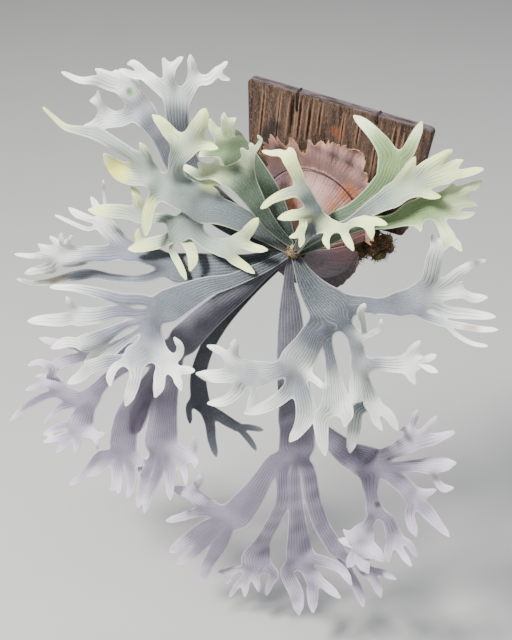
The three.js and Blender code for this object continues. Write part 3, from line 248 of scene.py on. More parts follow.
# ---------------------------------------------------------------------------- wall board
# A slab of rough hardwood about 26 cm wide, sawn across the grain at the top, grey with age there
# and brown and flecked on its face, where the soft wood has worn away between upright ridges.
# Two holes near its top edge take the hanging wires.
BOARD_DEPTH = 14.5
BOARD_TOP_LEFT = (-130.0, 86.0)
BOARD_TOP_RIGHT = (129.0, 78.0)
BOARD_LOW_RIGHT = (105.0, -82.0)
BOARD_LOW_LEFT = (-127.0, -85.0)
BOARD_CORNER = 7.0
BOARD_SPAN, BOARD_RISE = 250.0, 165.0   # its size in round numbers, to measure the corners by
BOARD_COLUMNS = 230
BOARD_ROWS = 76
GRAIN_LEAN = 0.09
CRACKS = [  # x and z of the top end, z of the bottom end, width, depth
    (-61.0, 78.0, 14.0, 4.2, 4.0), (-49.0, 82.0, 16.0, 2.2, 2.2), (-35.0, 81.0, 18.0, 2.6, 2.4),
    (-21.0, 80.0, 30.0, 2.0, 1.6), (84.0, 76.0, 18.0, 2.6, 2.2), (97.0, 68.0, 26.0, 2.4, 2.0),
    (-104.0, 78.0, -20.0, 1.8, 1.4), (34.0, 76.0, 30.0, 1.6, 1.4), (-80.0, 80.0, -10.0, 1.4, 1.0),
    (108.0, 66.0, 10.0, 1.6, 1.4), (12.0, 74.0, 20.0, 1.4, 1.0), (60.0, 70.0, -30.0, 1.6, 1.2),
]
KNOT = (2.5, 43.0)
KNOT_RADIUS, KNOT_RINGS, KNOT_DEPTH = 7.0, 1.4, 0.5
HANGER_SPOTS = [(-56.5, 60.0, 83.8, 1.9), (55.0, 71.0, 80.4, 1.9)]  # x, z of hole, z of edge, radius
HOLE_SIDES, HOLE_PAST = 20, 3.0
# painted shadow: dark patches on the slab's face where a frond tip's shadow falls, as centre and radius
PAINTED_FROND_SHADOWS = [((-97.0, -14.5, 12.0), 24.0), ((-88.0, -14.5, 30.0), 14.0)]
CREASE = math.radians(42.0)
FACE_WEAR = (1.0, 0.4, 0.5)     # how far the face is worn back, and its fine and broad unevenness
CRACK_HALF = 0.75               # half a crack at its mouth, against its width
RIDGE_ASIDE, RIDGE_RISE, RIDGE_SPAN = 1.3, 1.3, 1.2
WEAR_LEAST, WEAR_MOST = -0.1, 6.0
RIM_WEAR = 0.7
CHIP_BELTS = (0.12, 0.35, 0.6, 0.85)   # depths of the loops round the sawn edge
CHIP_DEPTH, CHIP_SIZE = 0.4, 14.0


def grow_noise(seed, count=7):
    """A smooth random function of points in millimetres, the same on every run."""
    draw = np.random.default_rng(seed)
    waves = draw.normal(size=(count, 3))
    waves /= np.linalg.norm(waves, axis=1)[:, None]
    waves *= draw.uniform(0.6, 1.9, size=(count, 1))
    phases = draw.uniform(0.0, 2.0 * math.pi, size=count)

    def level(points, wavelength):
        turns = points @ waves.T * (2.0 * math.pi / wavelength) + phases
        return np.sin(turns).mean(axis=1) * 1.6

    return level


def mesh_piece(name, points, faces, material, values=None, lift=0.0):
    """A smooth mesh object from points in millimetres, with named values on its points."""
    mesh = bpy.data.meshes.new(name)
    mesh.from_pydata((np.asarray(points) + (0.0, 0.0, lift)) * MM, [], faces)
    for key, numbers in (values or {}).items():
        layer = mesh.attributes.new(key, "FLOAT", "POINT")
        layer.data.foreach_set("value", np.asarray(numbers, dtype=np.float32))
    mesh.polygons.foreach_set("use_smooth", [True] * len(mesh.polygons))
    mesh.set_sharp_from_angle(angle=CREASE)
    mesh.materials.append(material)
    piece = bpy.data.objects.new(name, mesh)
    bpy.context.scene.collection.objects.link(piece)
    return piece


def cells(grid):
    """The four corners of each cell in a grid of point numbers."""
    corners = grid[:-1, :-1], grid[:-1, 1:], grid[1:, 1:], grid[1:, :-1]
    return np.stack(corners, axis=-1).reshape(-1, 4)


def baked(piece):
    """The piece with its modifiers worked into a plain mesh."""
    settled = bpy.context.evaluated_depsgraph_get()
    mesh = bpy.data.meshes.new_from_object(piece.evaluated_get(settled))
    name = piece.name
    plain = bpy.data.objects.new(name, mesh)
    bpy.data.objects.remove(piece)
    plain.name = name
    mesh.name = name
    bpy.context.scene.collection.objects.link(plain)
    return plain


def fit(piece, slot, *nodes):
    """Puts a finished piece in its place: on the one body and for its nodes; its slot is not used."""
    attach(piece, "root")
    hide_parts(*nodes)


def board_front(x, z):
    """How far the face is worn back at each place, and how much of a ridge stands there."""
    rough = grow_noise(11)
    spots = np.stack([x, 0.0 * x, z * 0.12], axis=1)
    worn = FACE_WEAR[0] + FACE_WEAR[1] * rough(spots, 5.0) + FACE_WEAR[2] * rough(spots, 17.0)
    ridges = 0.0 * x
    for top_x, top_z, low_z, width, depth in CRACKS:
        centre = top_x + GRAIN_LEAN * (z - top_z)
        middle = (top_z + low_z) / 2.0
        reach = np.clip(1.0 - ((z - middle) / (top_z - middle)) ** 2, 0.0, 1.0)
        across = np.clip(1.0 - np.abs(x - centre) / (CRACK_HALF * width), 0.0, 1.0)
        worn += depth * across * np.sqrt(reach)
        beside = np.exp(-((np.abs(x - centre) - RIDGE_ASIDE * width) / RIDGE_SPAN) ** 2)
        worn -= RIDGE_RISE * beside * np.sqrt(reach)
        ridges = np.maximum(ridges, beside * np.sqrt(reach))
    knot = np.hypot(x - KNOT[0], (z - KNOT[1]) * 0.9)
    worn += KNOT_DEPTH * np.cos(knot * KNOT_RINGS) * np.exp(-(knot / KNOT_RADIUS) ** 2)
    return np.clip(worn, WEAR_LEAST, WEAR_MOST), ridges


def board_outline(across, up):
    """The slab's front seen square on: straight sides with rounded corners and chipped edges."""
    low = np.outer(1 - across, BOARD_LOW_LEFT) + np.outer(across, BOARD_LOW_RIGHT)
    top = np.outer(1 - across, BOARD_TOP_LEFT) + np.outer(across, BOARD_TOP_RIGHT)
    spot = low * (1 - up)[:, None] + top * up[:, None]
    side_gap = np.minimum(across, 1 - across) * BOARD_SPAN
    end_gap = np.minimum(up, 1 - up) * BOARD_RISE
    corner = np.clip(BOARD_CORNER - side_gap, 0, None), np.clip(BOARD_CORNER - end_gap, 0, None)
    cut = np.where((corner[0] > 0) & (corner[1] > 0), np.hypot(*corner) - BOARD_CORNER, 0.0)
    cut = cut.clip(0, None)
    inward = np.stack([np.sign(0.5 - across) * corner[0], np.sign(0.5 - up) * corner[1]], axis=1)
    length = np.linalg.norm(inward, axis=1)[:, None]
    return spot + inward / np.maximum(length, 1e-6) * cut[:, None]


def build_board():
    """The slab's points, faces and ridges: its worn face, its chipped sides and its flat back."""
    chips = grow_noise(12)
    wide, rows = BOARD_COLUMNS + 1, BOARD_ROWS + 1
    steps_x = np.linspace(0.0, 1.0, wide)
    steps_z = 0.5 - 0.5 * np.cos(np.linspace(0.0, math.pi, rows))
    steps_z = 0.5 * steps_z + 0.5 * np.linspace(0.0, 1.0, rows)
    up, across = (g.ravel() for g in np.meshgrid(steps_z, steps_x, indexing="ij"))
    flat = board_outline(across, up)
    rim = (np.minimum(across, 1 - across) == 0) | (np.minimum(up, 1 - up) == 0)
    worn, ridges = board_front(flat[:, 0], flat[:, 1])
    worn = worn + np.where(rim, RIM_WEAR, 0.0)
    front = np.stack([flat[:, 0], -BOARD_DEPTH + worn, flat[:, 1]], axis=1)
    back = np.stack([flat[:, 0], 0.0 * worn, flat[:, 1]], axis=1)
    grid = np.arange(rows * wide).reshape(rows, wide)
    faces = cells(grid).tolist()
    loop = np.concatenate([grid[0, :-1], grid[:-1, -1], grid[-1, :0:-1], grid[:0:-1, 0]])
    count = len(loop)
    points, before = [front], loop
    for k, share in enumerate((*CHIP_BELTS, 1.0)):
        belt = front[loop] * (1 - share) + back[loop] * share
        if share < 1.0:
            chipped = chips(belt * (1, 3, 1), CHIP_SIZE)[:, None]
            belt += np.sign(belt) * (CHIP_DEPTH, 0.0, CHIP_DEPTH) * chipped
        points.append(belt)
        ring = len(front) + k * count + np.arange(count)
        faces += np.stack([np.roll(before, -1), before, ring, np.roll(ring, -1)], axis=1).tolist()
        before = ring
    faces.append(before[::-1].tolist())
    points = np.concatenate(points)
    ridges = np.concatenate([ridges, np.zeros(len(points) - len(ridges))])
    return points, faces, ridges


def wood_finish():
    """Wood with dark upright grain, pale fibres on its ridges and a grey end grain on top."""
    wood = Finish("weathered_wood", Specular_IOR_Level=0.3)
    grain = wood.noise(240.0, 5.0, 0.7, stretch=(1.0, 1.0, 0.09))
    broad = wood.noise(60.0, 3.0, 0.6, stretch=(1.0, 1.0, 0.14), bend=0.6)
    fleck = wood.noise(420.0, 2.0, 0.6, stretch=(1.0, 1.0, 0.32))
    height = wood.add("ShaderNodeSeparateXYZ", {}, {0: wood.place}, out="Z")
    depth = wood.add("ShaderNodeSeparateXYZ", {}, {0: wood.place}, out="Y")
    tone = wood.mix(wood.step(grain, 0.36, 0.64), (0.014, 0.0082, 0.0062), (0.072, 0.041, 0.028))
    tone = wood.mix(wood.step(broad, 0.42, 0.68) * 0.6, tone, (0.098, 0.06, 0.042))
    fibre = wood.noise(1100.0, 2.0, 0.6, stretch=(1.0, 1.0, 0.22))
    tone = wood.mix(wood.step(fibre, 0.54, 0.66) * 0.55, tone, (0.24, 0.15, 0.105))
    tone = wood.mix(wood.step(fleck, 0.58, 0.7) * 0.7, tone, (0.012, 0.008, 0.006))
    ridge = wood.attribute("ridge") * wood.step(fibre, 0.3, 0.6, 0.5, 1.0)
    tone = wood.mix(ridge * 0.8, tone, (0.3, 0.17, 0.1))
    knot = wood.spot((KNOT[0], -BOARD_DEPTH, KNOT[1]), 12.0, 0.7, 0.8)
    tone = wood.mix(knot * 0.45, tone, (0.27, 0.085, 0.025))
    facing = wood.add("ShaderNodeNewGeometry", out="Normal")
    sawn = wood.add("ShaderNodeSeparateXYZ", {}, {0: facing}, out="Z")
    rings = wood.noise(300.0, 4.0, 0.6, stretch=(0.12, 1.0, 1.0))
    end_grain = wood.mix(wood.step(rings, 0.38, 0.66), (0.022, 0.016, 0.017), (0.11, 0.085, 0.09))
    tone = wood.mix(wood.step(sawn, 0.45, 0.75), tone, end_grain)
    behind = wood.step(depth, -0.004, 0.0)
    tone = wood.mix(behind * 0.35, tone, (0.2, 0.16, 0.13))
    damp = wood.step(height, 0.035, -0.03) * wood.step(wood.noise(26.0), 0.3, 0.7)
    tone = wood.mix(damp * 0.4, tone, (0.02, 0.014, 0.011))
    # painted shadow of a frond tip darkens the slab's face here
    for centre, radius in PAINTED_FROND_SHADOWS:
        tone = wood.mix(wood.spot(centre, radius, 0.8, 0.9) * 0.8, tone, (0.012, 0.01, 0.01))
    relief = grain * 0.6 + fleck * -0.4 + broad * 0.4
    return wood.wear(tone, wood.step(grain, 0.3, 0.7, 0.95, 0.75), relief, 0.0012, 0.8)


points, faces, ridges = build_board()
board = mesh_piece("board", points, faces, wood_finish(), {"ridge": ridges})
turn = np.arange(HOLE_SIDES) * 2.0 * math.pi / HOLE_SIDES
walls = [(k, (k + 1) % HOLE_SIDES, (k + 1) % HOLE_SIDES + HOLE_SIDES, k + HOLE_SIDES)
         for k in range(HOLE_SIDES)]
caps = [tuple(range(HOLE_SIDES))[::-1], tuple(range(HOLE_SIDES, 2 * HOLE_SIDES))]
for hole_x, hole_z, edge_z, radius in HANGER_SPOTS:
    ring = np.stack([hole_x + radius * np.cos(turn), 0.0 * turn, hole_z + radius * np.sin(turn)],
                    axis=1)
    ends = np.concatenate([ring - (0, BOARD_DEPTH + HOLE_PAST, 0), ring + (0, HOLE_PAST, 0)])
    drill = mesh_piece("drill", ends, walls + caps, board.data.materials[0])
    cut = board.modifiers.new("hole", "BOOLEAN")
    cut.object = drill
    cut.operation = "DIFFERENCE"
    cut.solver = "EXACT"
    board = baked(board)
    bpy.data.objects.remove(drill)
fit(board, "board_wood", "wall_board")

# ---------------------------------------------------------------------------- hanger wires
# Two lengths of dark annealed wire. Each goes through its hole and over the slab's top edge, and
# its ends are twisted together inside the hole.
HANGER_RADIUS = 0.9
HANGER_BEND = 2.5
WIRE_SIDES = 10
WIRE_STEP = 1.2


def open_tree(name, result, **inputs):
    """A new node tree with named inputs: its bench, and the value of each input in turn."""
    tree = bpy.data.node_groups.new(name, "GeometryNodeTree")
    for key, kind in inputs.items():
        tree.interface.new_socket(key, in_out="INPUT", socket_type="NodeSocket" + kind)
    tree.interface.new_socket(result, in_out="OUTPUT", socket_type="NodeSocketGeometry")
    bench = Bench(tree)
    given = tree.nodes.new("NodeGroupInput")
    return bench, [Value(bench, given.outputs[i]) for i in range(len(inputs))]


def close_tree(bench, shape, material):
    """Gives the shape its material and makes it what the tree puts out."""
    shape = bench.add("GeometryNodeSetMaterial", {}, {0: shape, "Material": material})
    leave = bench.tree.nodes.new("NodeGroupOutput")
    bench.tree.links.new(shape.socket, leave.inputs[0])
    return bench.tree


def wire_tree(sides):
    """A round wire along a drawn path: the path is smoothed, then a circle follows it."""
    bench, (path, radius, step, metal) = open_tree(
        "round_wire", "Wire", Path="Geometry", Radius="Float", Step="Float", Metal="Material")
    line = bench.add("GeometryNodeMeshToCurve", {}, {0: path})
    line = bench.add("GeometryNodeCurveSplineType", {"spline_type": "CATMULL_ROM"}, {0: line})
    line = bench.add("GeometryNodeResampleCurve", {"mode": "LENGTH"}, {"Curve": line, "Length": step})
    ring = bench.add("GeometryNodeCurvePrimitiveCircle", {}, {"Resolution": sides, "Radius": radius})
    sockets = {"Curve": line, "Profile Curve": ring, "Fill Caps": True}
    solid = bench.add("GeometryNodeCurveToMesh", {}, sockets)
    solid = bench.add("GeometryNodeSetShadeSmooth", {}, {0: solid})
    solid = bench.add("GeometryNodeRealizeInstances", {}, {0: solid})
    return close_tree(bench, solid, metal)


def use_tree(piece, tree, **inputs):
    """Puts a tree on a piece with its named inputs, and works it into a plain mesh."""
    grower = piece.modifiers.new("grower", "NODES")
    grower.node_group = tree
    sockets = [item for item in tree.interface.items_tree if item.in_out == "INPUT"]
    names = {item.name: item.identifier for item in sockets}
    for name, value in inputs.items():
        grower[names[name]] = value
    return baked(piece)


def wire_finish():
    """Dark wire with a little rust."""
    metal = Finish("dark_wire", Metallic=0.75)
    rust = metal.noise(700.0, 3.0)
    tone = metal.mix(metal.step(rust, 0.5, 0.7), (0.045, 0.036, 0.04), (0.13, 0.075, 0.055))
    return metal.wear(tone, metal.step(rust, 0.4, 0.7, 0.35, 0.7), rust, 0.0002, 0.5)


round_wire = wire_tree(WIRE_SIDES)
dark_wire = wire_finish()


def lay_wire(name, path, radius, lift=0.0):
    """A wire through places in millimetres."""
    mesh = bpy.data.meshes.new(name)
    spots = (np.asarray(path) + (0, 0, lift)) * MM
    mesh.from_pydata(spots, [(i, i + 1) for i in range(len(path) - 1)], [])
    piece = bpy.data.objects.new(name, mesh)
    bpy.context.scene.collection.objects.link(piece)
    return use_tree(piece, round_wire, Radius=radius * MM, Step=WIRE_STEP * MM, Metal=dark_wire)


def hanger_path(x, hole_z, edge_z):
    """From inside the hole out at the back, over the top edge, and in again at the front."""
    back = -1.3
    front = -BOARD_DEPTH - HANGER_RADIUS - 0.6
    top = edge_z + HANGER_RADIUS + 0.9
    middle = -BOARD_DEPTH / 2
    bend = HANGER_BEND
    return [(x, y, z) for y, z in (
        (middle + 0.6, hole_z), (back - 1.6, hole_z), (back - 0.3, hole_z + 0.7),
        (back, hole_z + bend), (back, top - bend), (back - 0.7, top - 0.7), (back - bend, top),
        (front + bend, top), (front + 0.7, top - 0.7), (front, top - bend), (front, hole_z + bend),
        (front + 0.4, hole_z + 0.7), (front + 2, hole_z), (middle - 0.6, hole_z),
    )]


for side, (x, hole_z, edge_z, radius) in zip(("left", "right"), HANGER_SPOTS):
    hanger = lay_wire("hanger_" + side, hanger_path(x, hole_z, edge_z), HANGER_RADIUS)
    fit(hanger, "hanger_wire", "hanger_wire_" + side)

# ---------------------------------------------------------------------------- root ball
# Long-fibre moss and old roots packed into a dome about 17 cm across on the slab. It shows only
# beside and under the shields, and where living moss has swelled out at the low right.
CROWN_HEIGHT = -76.0
BALL_CENTRE = (-6.0, 4.0)
BALL_HALF_WIDTH = 82.0
BALL_HALF_HEIGHT = 92.0
BALL_DEPTH = 96.0
BALL_SHOULDER = 1.7
BALL_CROWN = 0.62
BALL_BACK = 14.8
BALL_TURNS = 120
BALL_RINGS = 34
BALL_SUNK, TUFT_SUNK = 0.965, 0.93     # what the fibres on them leave to the shapes themselves
TUFTS = [  # x, out, z, radius
    (72, 34, -18, 15), (84, 31, -12, 11), (82, 33, -28, 10), (92, 28, -20, 7.5), (76, 28, -36, 8),
    (90, 29, -6, 7),
]
FIBRES_PER_SQUARE_METRE = 90000.0
FIBRE_LENGTH, FIBRE_THICKNESS = 5.5, 0.28


def dome_point(angle, reach):
    """A place on the dome, at an angle and a share of the way from its middle to its rim."""
    inside = np.clip(1.0 - reach ** BALL_SHOULDER, 0.0, None)
    out = BALL_BACK + BALL_DEPTH * inside ** BALL_CROWN
    x = BALL_CENTRE[0] * reach + BALL_HALF_WIDTH * reach * np.cos(angle)
    z = BALL_CENTRE[1] * reach + BALL_HALF_HEIGHT * reach * np.sin(angle)
    return np.stack([x, -out, z], axis=-1)


def round_blob(subdivisions, radius):
    """The points and faces of a plain round blob about the origin."""
    blob = bmesh.new()
    bmesh.ops.create_icosphere(blob, subdivisions=subdivisions, radius=radius)
    spots = np.array([v.co for v in blob.verts])
    faces = [tuple(v.index for v in f.verts) for f in blob.faces]
    blob.free()
    return spots, faces


def build_ball():
    """The points and faces of the dome, with rough blobs of living moss at its low right."""
    lumps = grow_noise(21)
    turns = np.arange(BALL_TURNS) * 2 * math.pi / BALL_TURNS
    reaches = np.sin(np.linspace(0.03, 1.0, BALL_RINGS) * math.pi / 2)
    angle, reach = (g.ravel() for g in np.meshgrid(turns, reaches))
    points = dome_point(angle, reach)
    sunk = BALL_SUNK - 0.012 * np.abs(lumps(points, 16.0)) - 0.01 * np.abs(lumps(points, 6.0))
    points[:, (0, 2)] *= sunk[:, None]
    points[:, 1] = np.minimum(points[:, 1] * sunk, -BALL_BACK)
    rows = np.arange(len(points)).reshape(BALL_RINGS, BALL_TURNS)
    faces = cells(np.column_stack([rows, rows[:, 0]]))[:, (0, 3, 2, 1)].tolist()
    faces += [rows[0].tolist(), rows[-1][::-1].tolist()]
    blocks, total = [points], len(points)
    for x, out, z, radius in TUFTS:
        spots, sides = round_blob(4, radius * TUFT_SUNK)
        middle = np.array((x, -out, z))
        spots = spots + middle
        swell = 1 + 0.05 * lumps(spots, 7.0) + 0.09 * lumps(spots, 13.0)
        spots = middle + (spots - middle) * swell[:, None]
        spots[:, 1] = np.minimum(spots[:, 1], -BALL_BACK)
        faces += [tuple(i + total for i in side) for side in sides]
        blocks.append(spots)
        total += len(spots)
    return np.concatenate(blocks), faces


def strew(bench, ground, spots, shape, lie, tilts, sizes, seed, material):
    """Copies of a shape on the spots, tilted and sized at random, joined to their ground."""
    tilt = bench.add("FunctionNodeRandomValue", {"data_type": "FLOAT_VECTOR"}, {
        "Min": tilts[0], "Max": tilts[1], "Seed": seed})
    tilt = bench.add("FunctionNodeEulerToRotation", {}, {0: tilt})
    turned = bench.add("FunctionNodeRotateRotation", {"rotation_space": "LOCAL"}, {0: lie, 1: tilt})
    size = bench.add("FunctionNodeRandomValue", {"data_type": "FLOAT"}, {
        2: sizes[0], 3: sizes[1], "Seed": seed}, out="Value")
    many = bench.add("GeometryNodeInstanceOnPoints", {}, {
        "Points": spots, "Instance": shape, "Rotation": turned, "Scale": size})
    many = bench.add("GeometryNodeRealizeInstances", {}, {0: many})
    both = bench.add("GeometryNodeJoinGeometry")
    for part in (ground, many):
        bench.tree.links.new(part.socket, both.socket.node.inputs[0])
    return close_tree(bench, both, material)


def fibre_tree():
    """Short bent fibres standing on a surface in every direction, each a thin spike."""
    bench, (ball, density, length, thick, seed, moss) = open_tree(
        "moss_fibres", "Mossy", Ball="Geometry", Density="Float", Length="Float",
        Thickness="Float", Seed="Int", Moss="Material")
    spread = {"Mesh": ball, "Density": density, "Seed": seed}
    spots = bench.add("GeometryNodeDistributePointsOnFaces", {}, spread)
    stand = Value(bench, spots.socket.node.outputs["Rotation"])
    arc = bench.add("GeometryNodeCurveQuadraticBezier", {}, {
        "Resolution": 3, "Start": (0.0, 0.0, -0.1), "Middle": (0.0, 0.0, 0.6), "End": (0.45, 0.1, 0.95)})
    taper = bench.add("GeometryNodeSplineParameter", out="Factor")
    girth = bench.add("GeometryNodeSetCurveRadius", {}, {"Curve": arc, "Radius": 1.0 - taper * 0.85})
    ring = bench.add("GeometryNodeCurvePrimitiveCircle", {}, {"Resolution": 3, "Radius": thick / length})
    spike = bench.add("GeometryNodeCurveToMesh", {}, {"Curve": girth, "Profile Curve": ring})
    tilts = (-0.9, -0.9, -3.1), (0.9, 0.9, 3.1)
    return strew(bench, ball, spots, spike, stand, tilts, (length * 0.5, length * 1.3), seed, moss)


def moss_finish():
    """Brown moss, with a green cast where it is alive."""
    moss = Finish("moss_and_roots", Roughness=0.95, Specular_IOR_Level=0.2)
    fine = moss.noise(650.0, 3.0)
    patch = moss.noise(90.0, 3.0)
    tone = moss.mix(moss.step(fine, 0.35, 0.66), (0.025, 0.015, 0.009), (0.2, 0.125, 0.065))
    swollen = moss.spot((80.0, -40.0, -98.0), 42.0, 0.4, 0.3)
    tone = moss.mix(moss.step(patch, 0.5, 0.66) * swollen * 0.8, tone, (0.06, 0.085, 0.015))
    tone = moss.mix(moss.step(moss.noise(240.0), 0.62, 0.7) * 0.5, tone, (0.3, 0.22, 0.13))
    return moss.wear(tone, None, fine, 0.0015, 0.8)


moss_and_roots = moss_finish()
ball = mesh_piece("packed_ball", *build_ball(), moss_and_roots, lift=CROWN_HEIGHT)
ball = use_tree(ball, fibre_tree(), Density=FIBRES_PER_SQUARE_METRE, Length=FIBRE_LENGTH * MM,
                Thickness=FIBRE_THICKNESS * MM, Seed=5, Moss=moss_and_roots)
fit(ball, "moss_and_roots", "root_ball")

# ---------------------------------------------------------------------------- upper shield frond
# The old shield frond: a dry, papery fan that grew up over the ball from the crown and clasps it.
# It has turned pinkish tan with burnt-orange dead patches, and its free edge is torn into teeth.
UPPER_FROM, UPPER_TO = -4.0, 185.0
UPPER_RIM = [  # degrees, reach
    (-4, 1.0), (20, 1.08), (30, 1.17), (40, 1.25), (50, 1.38), (60, 1.58), (70, 1.5), (78, 1.42),
    (85, 1.24), (90, 1.3), (96, 1.22), (105, 1.18), (112, 1.22), (118, 1.36), (126, 1.28),
    (135, 1.22), (145, 1.14), (155, 1.1), (165, 1.05), (185, 1.0),
]
UPPER_GRID = (520, 56)
UPPER_START = 0.15
UPPER_LIFT = 2.6
UPPER_CURL = 5.0
UPPER_FLARE_FROM, UPPER_FLARE_RISE = 0.86, 18.0
SHIELD_THICKNESS = 1.2
RIM_BULGE = 0.7                 # how far a sheet's margin rounds out, against half its thickness
EDGE_WIDTH = 80.0               # millimetres for each unit of reach
LIGHTWARD = np.array((0.39, -0.68, 0.62)) / np.linalg.norm((0.39, -0.68, 0.62))


def shield_point(angle, reach, lift, flare_from, flare_rise):
    """A place on a shield: it lies on the ball, then past flare_from leaves it and stands free."""
    held = np.minimum(reach, flare_from)
    place = dome_point(angle, held)
    inward = place - dome_point(angle, held * 0.97)
    around = dome_point(angle + 0.05, held) - dome_point(angle - 0.05, held)
    out = np.cross(inward, around)
    place = place + out / np.linalg.norm(out, axis=-1, keepdims=True) * np.asarray(lift)[..., None]
    past = np.clip(reach - flare_from, 0.0, None)
    place[..., 0] += BALL_HALF_WIDTH * past * np.cos(angle)
    place[..., 2] += BALL_HALF_HEIGHT * past * np.sin(angle)
    place[..., 1] -= flare_rise * past
    return place


def solid_sheet(name, points, faces, thickness, material, values, lean=0.0, lift=0.0):
    """Gives a sheet its thickness, with a rounded margin, and makes it an object."""
    points = np.asarray(points, float)
    faces = np.asarray(faces)
    count = len(points)
    a, b, c, d = (points[faces[:, k]] for k in range(4))
    facing = np.cross(c - a, d - b)
    normals = np.zeros_like(points)
    for k in range(4):
        np.add.at(normals, faces[:, k], facing)
    normals /= np.maximum(np.linalg.norm(normals, axis=1, keepdims=True), 1e-9)
    if lean:
        normals += LIGHTWARD * lean
        normals /= np.linalg.norm(normals, axis=1, keepdims=True)
    pairs = np.concatenate([faces[:, (k, (k + 1) % 4)] for k in range(4)])
    pairs = pairs[pairs[:, 0] != pairs[:, 1]]
    keys = pairs[:, 0] * count + pairs[:, 1]
    free = pairs[~np.isin(keys, pairs[:, 1] * count + pairs[:, 0])]
    outward = np.zeros_like(points)
    along = points[free[:, 1]] - points[free[:, 0]]
    aside = np.cross(along, normals[free[:, 0]])
    np.add.at(outward, free[:, 0], aside)
    np.add.at(outward, free[:, 1], aside)
    edge = np.unique(free)
    size = np.linalg.norm(outward[edge], axis=1, keepdims=True)
    half = np.broadcast_to(np.asarray(thickness, float) / 2, count)[:, None]
    rim = points[edge] + outward[edge] / np.maximum(size, 1e-9) * half[edge] * RIM_BULGE
    spot = np.full(count, -1)
    spot[edge] = 2 * count + np.arange(len(edge))
    solid = [tuple(f) if f[2] != f[3] else tuple(f[:3]) for f in faces.tolist()]
    solid += [tuple(i + count for i in f[::-1]) for f in solid]
    for first, second in free.tolist():
        solid.append((second, first, int(spot[first]), int(spot[second])))
        solid.append((int(spot[second]), int(spot[first]), first + count, second + count))
    whole = np.concatenate([points + normals * half, points - normals * half, rim])
    values = {key: np.concatenate([v, v, np.asarray(v)[edge]]) for key, v in values.items()}
    return mesh_piece(name, whole, solid, material, values, lift)


def torn(angle, seed, count, depth, width):
    """How far tears and teeth cut into a free edge at each angle, from 0 to about depth."""
    draw = np.random.default_rng(seed)
    cuts = np.zeros_like(angle)
    for centre in draw.uniform(angle.min(), angle.max(), count):
        size = draw.uniform(0.35, 1.0)
        near = np.clip(1.0 - np.abs(angle - centre) / (width * draw.uniform(0.5, 1.3)), 0.0, 1.0)
        cuts = np.maximum(cuts, depth * size * near ** 1.3)
    return cuts


def toothed(angle, seed, count, depth, width):
    """How far the edge stands back between pointed teeth at each angle."""
    draw = np.random.default_rng(seed)
    rise = np.zeros_like(angle)
    for centre in draw.uniform(angle.min(), angle.max(), count):
        near = np.clip(1.0 - np.abs(angle - centre) / (width * draw.uniform(0.5, 1.5)), 0.0, 1.0)
        rise = np.maximum(rise, draw.uniform(0.35, 1.0) * near ** 0.8)
    return depth * (1.0 - rise)


def shield_grid(spans, rings):
    """A fan of square faces, and for each point its share of the turn and of the way out."""
    span, ring = np.meshgrid(np.linspace(0, 1, spans + 1), np.linspace(0, 1, rings + 1))
    return span.ravel(), ring.ravel(), cells(np.arange(span.size).reshape(span.shape))


def shield_finish(name, plain, light, dark, vein, rim, patch, patches, vein_share, **spots):
    """Dry paper in two clouded tones, with veins, dead patches, wider tints and a browned rim."""
    paper = Finish(name, Specular_IOR_Level=0.35, Sheen_Weight=0.15)
    turn = paper.attribute("turn")
    reach = paper.attribute("reach")
    wobble = paper.noise(45.0, 2.0) - 0.5
    swirl = paper.noise(22.0, 3.0, bend=0.8)
    tone = paper.mix(paper.step(swirl, 0.36, 0.64), plain, light)
    tone = paper.mix(paper.step(paper.noise(11.0, 2.0), 0.42, 0.62) * 0.6, tone, dark)
    lines = None
    for count in (38.0, 91.0):
        saw = (turn * count + wobble * 2.2).math("FRACT")
        line = paper.step((saw - 0.5).math("ABSOLUTE"), 0.34, 0.5)
        lines = line if lines is None else lines * 0.55 + line * 0.45
    veined = lines * paper.step(reach, 0.1, 0.5, 0.25, 1.0) * paper.step(paper.noise(30.0), 0.3, 0.65)
    tone = paper.mix(veined * vein_share, tone, vein)
    for centre, radius in patches:
        tone = paper.mix(paper.spot(centre, radius, 0.45, 1.1) * 0.85, tone, patch)
    for color, places in spots.values():
        for centre, radius in places:
            tone = paper.mix(paper.spot(centre, radius, 0.9, 0.6) * 0.8, tone, color)
    edge = paper.attribute("edge")
    brown = paper.step(edge + wobble * 7.0, 0.0, 6.5, 1.0, 0.0)
    tone = paper.mix(brown * 0.6, tone, rim)
    grain = paper.noise(520.0, 3.0)
    tone = paper.mix(paper.step(grain, 0.3, 0.75) * 0.07, tone, (0.95, 0.9, 0.86), "SCREEN")
    relief = swirl * 1.2 - lines * vein_share * 0.65 + grain * 0.25
    return paper.wear(tone, paper.step(grain, 0.3, 0.7, 0.78, 0.6), relief, 0.0013, 0.75)


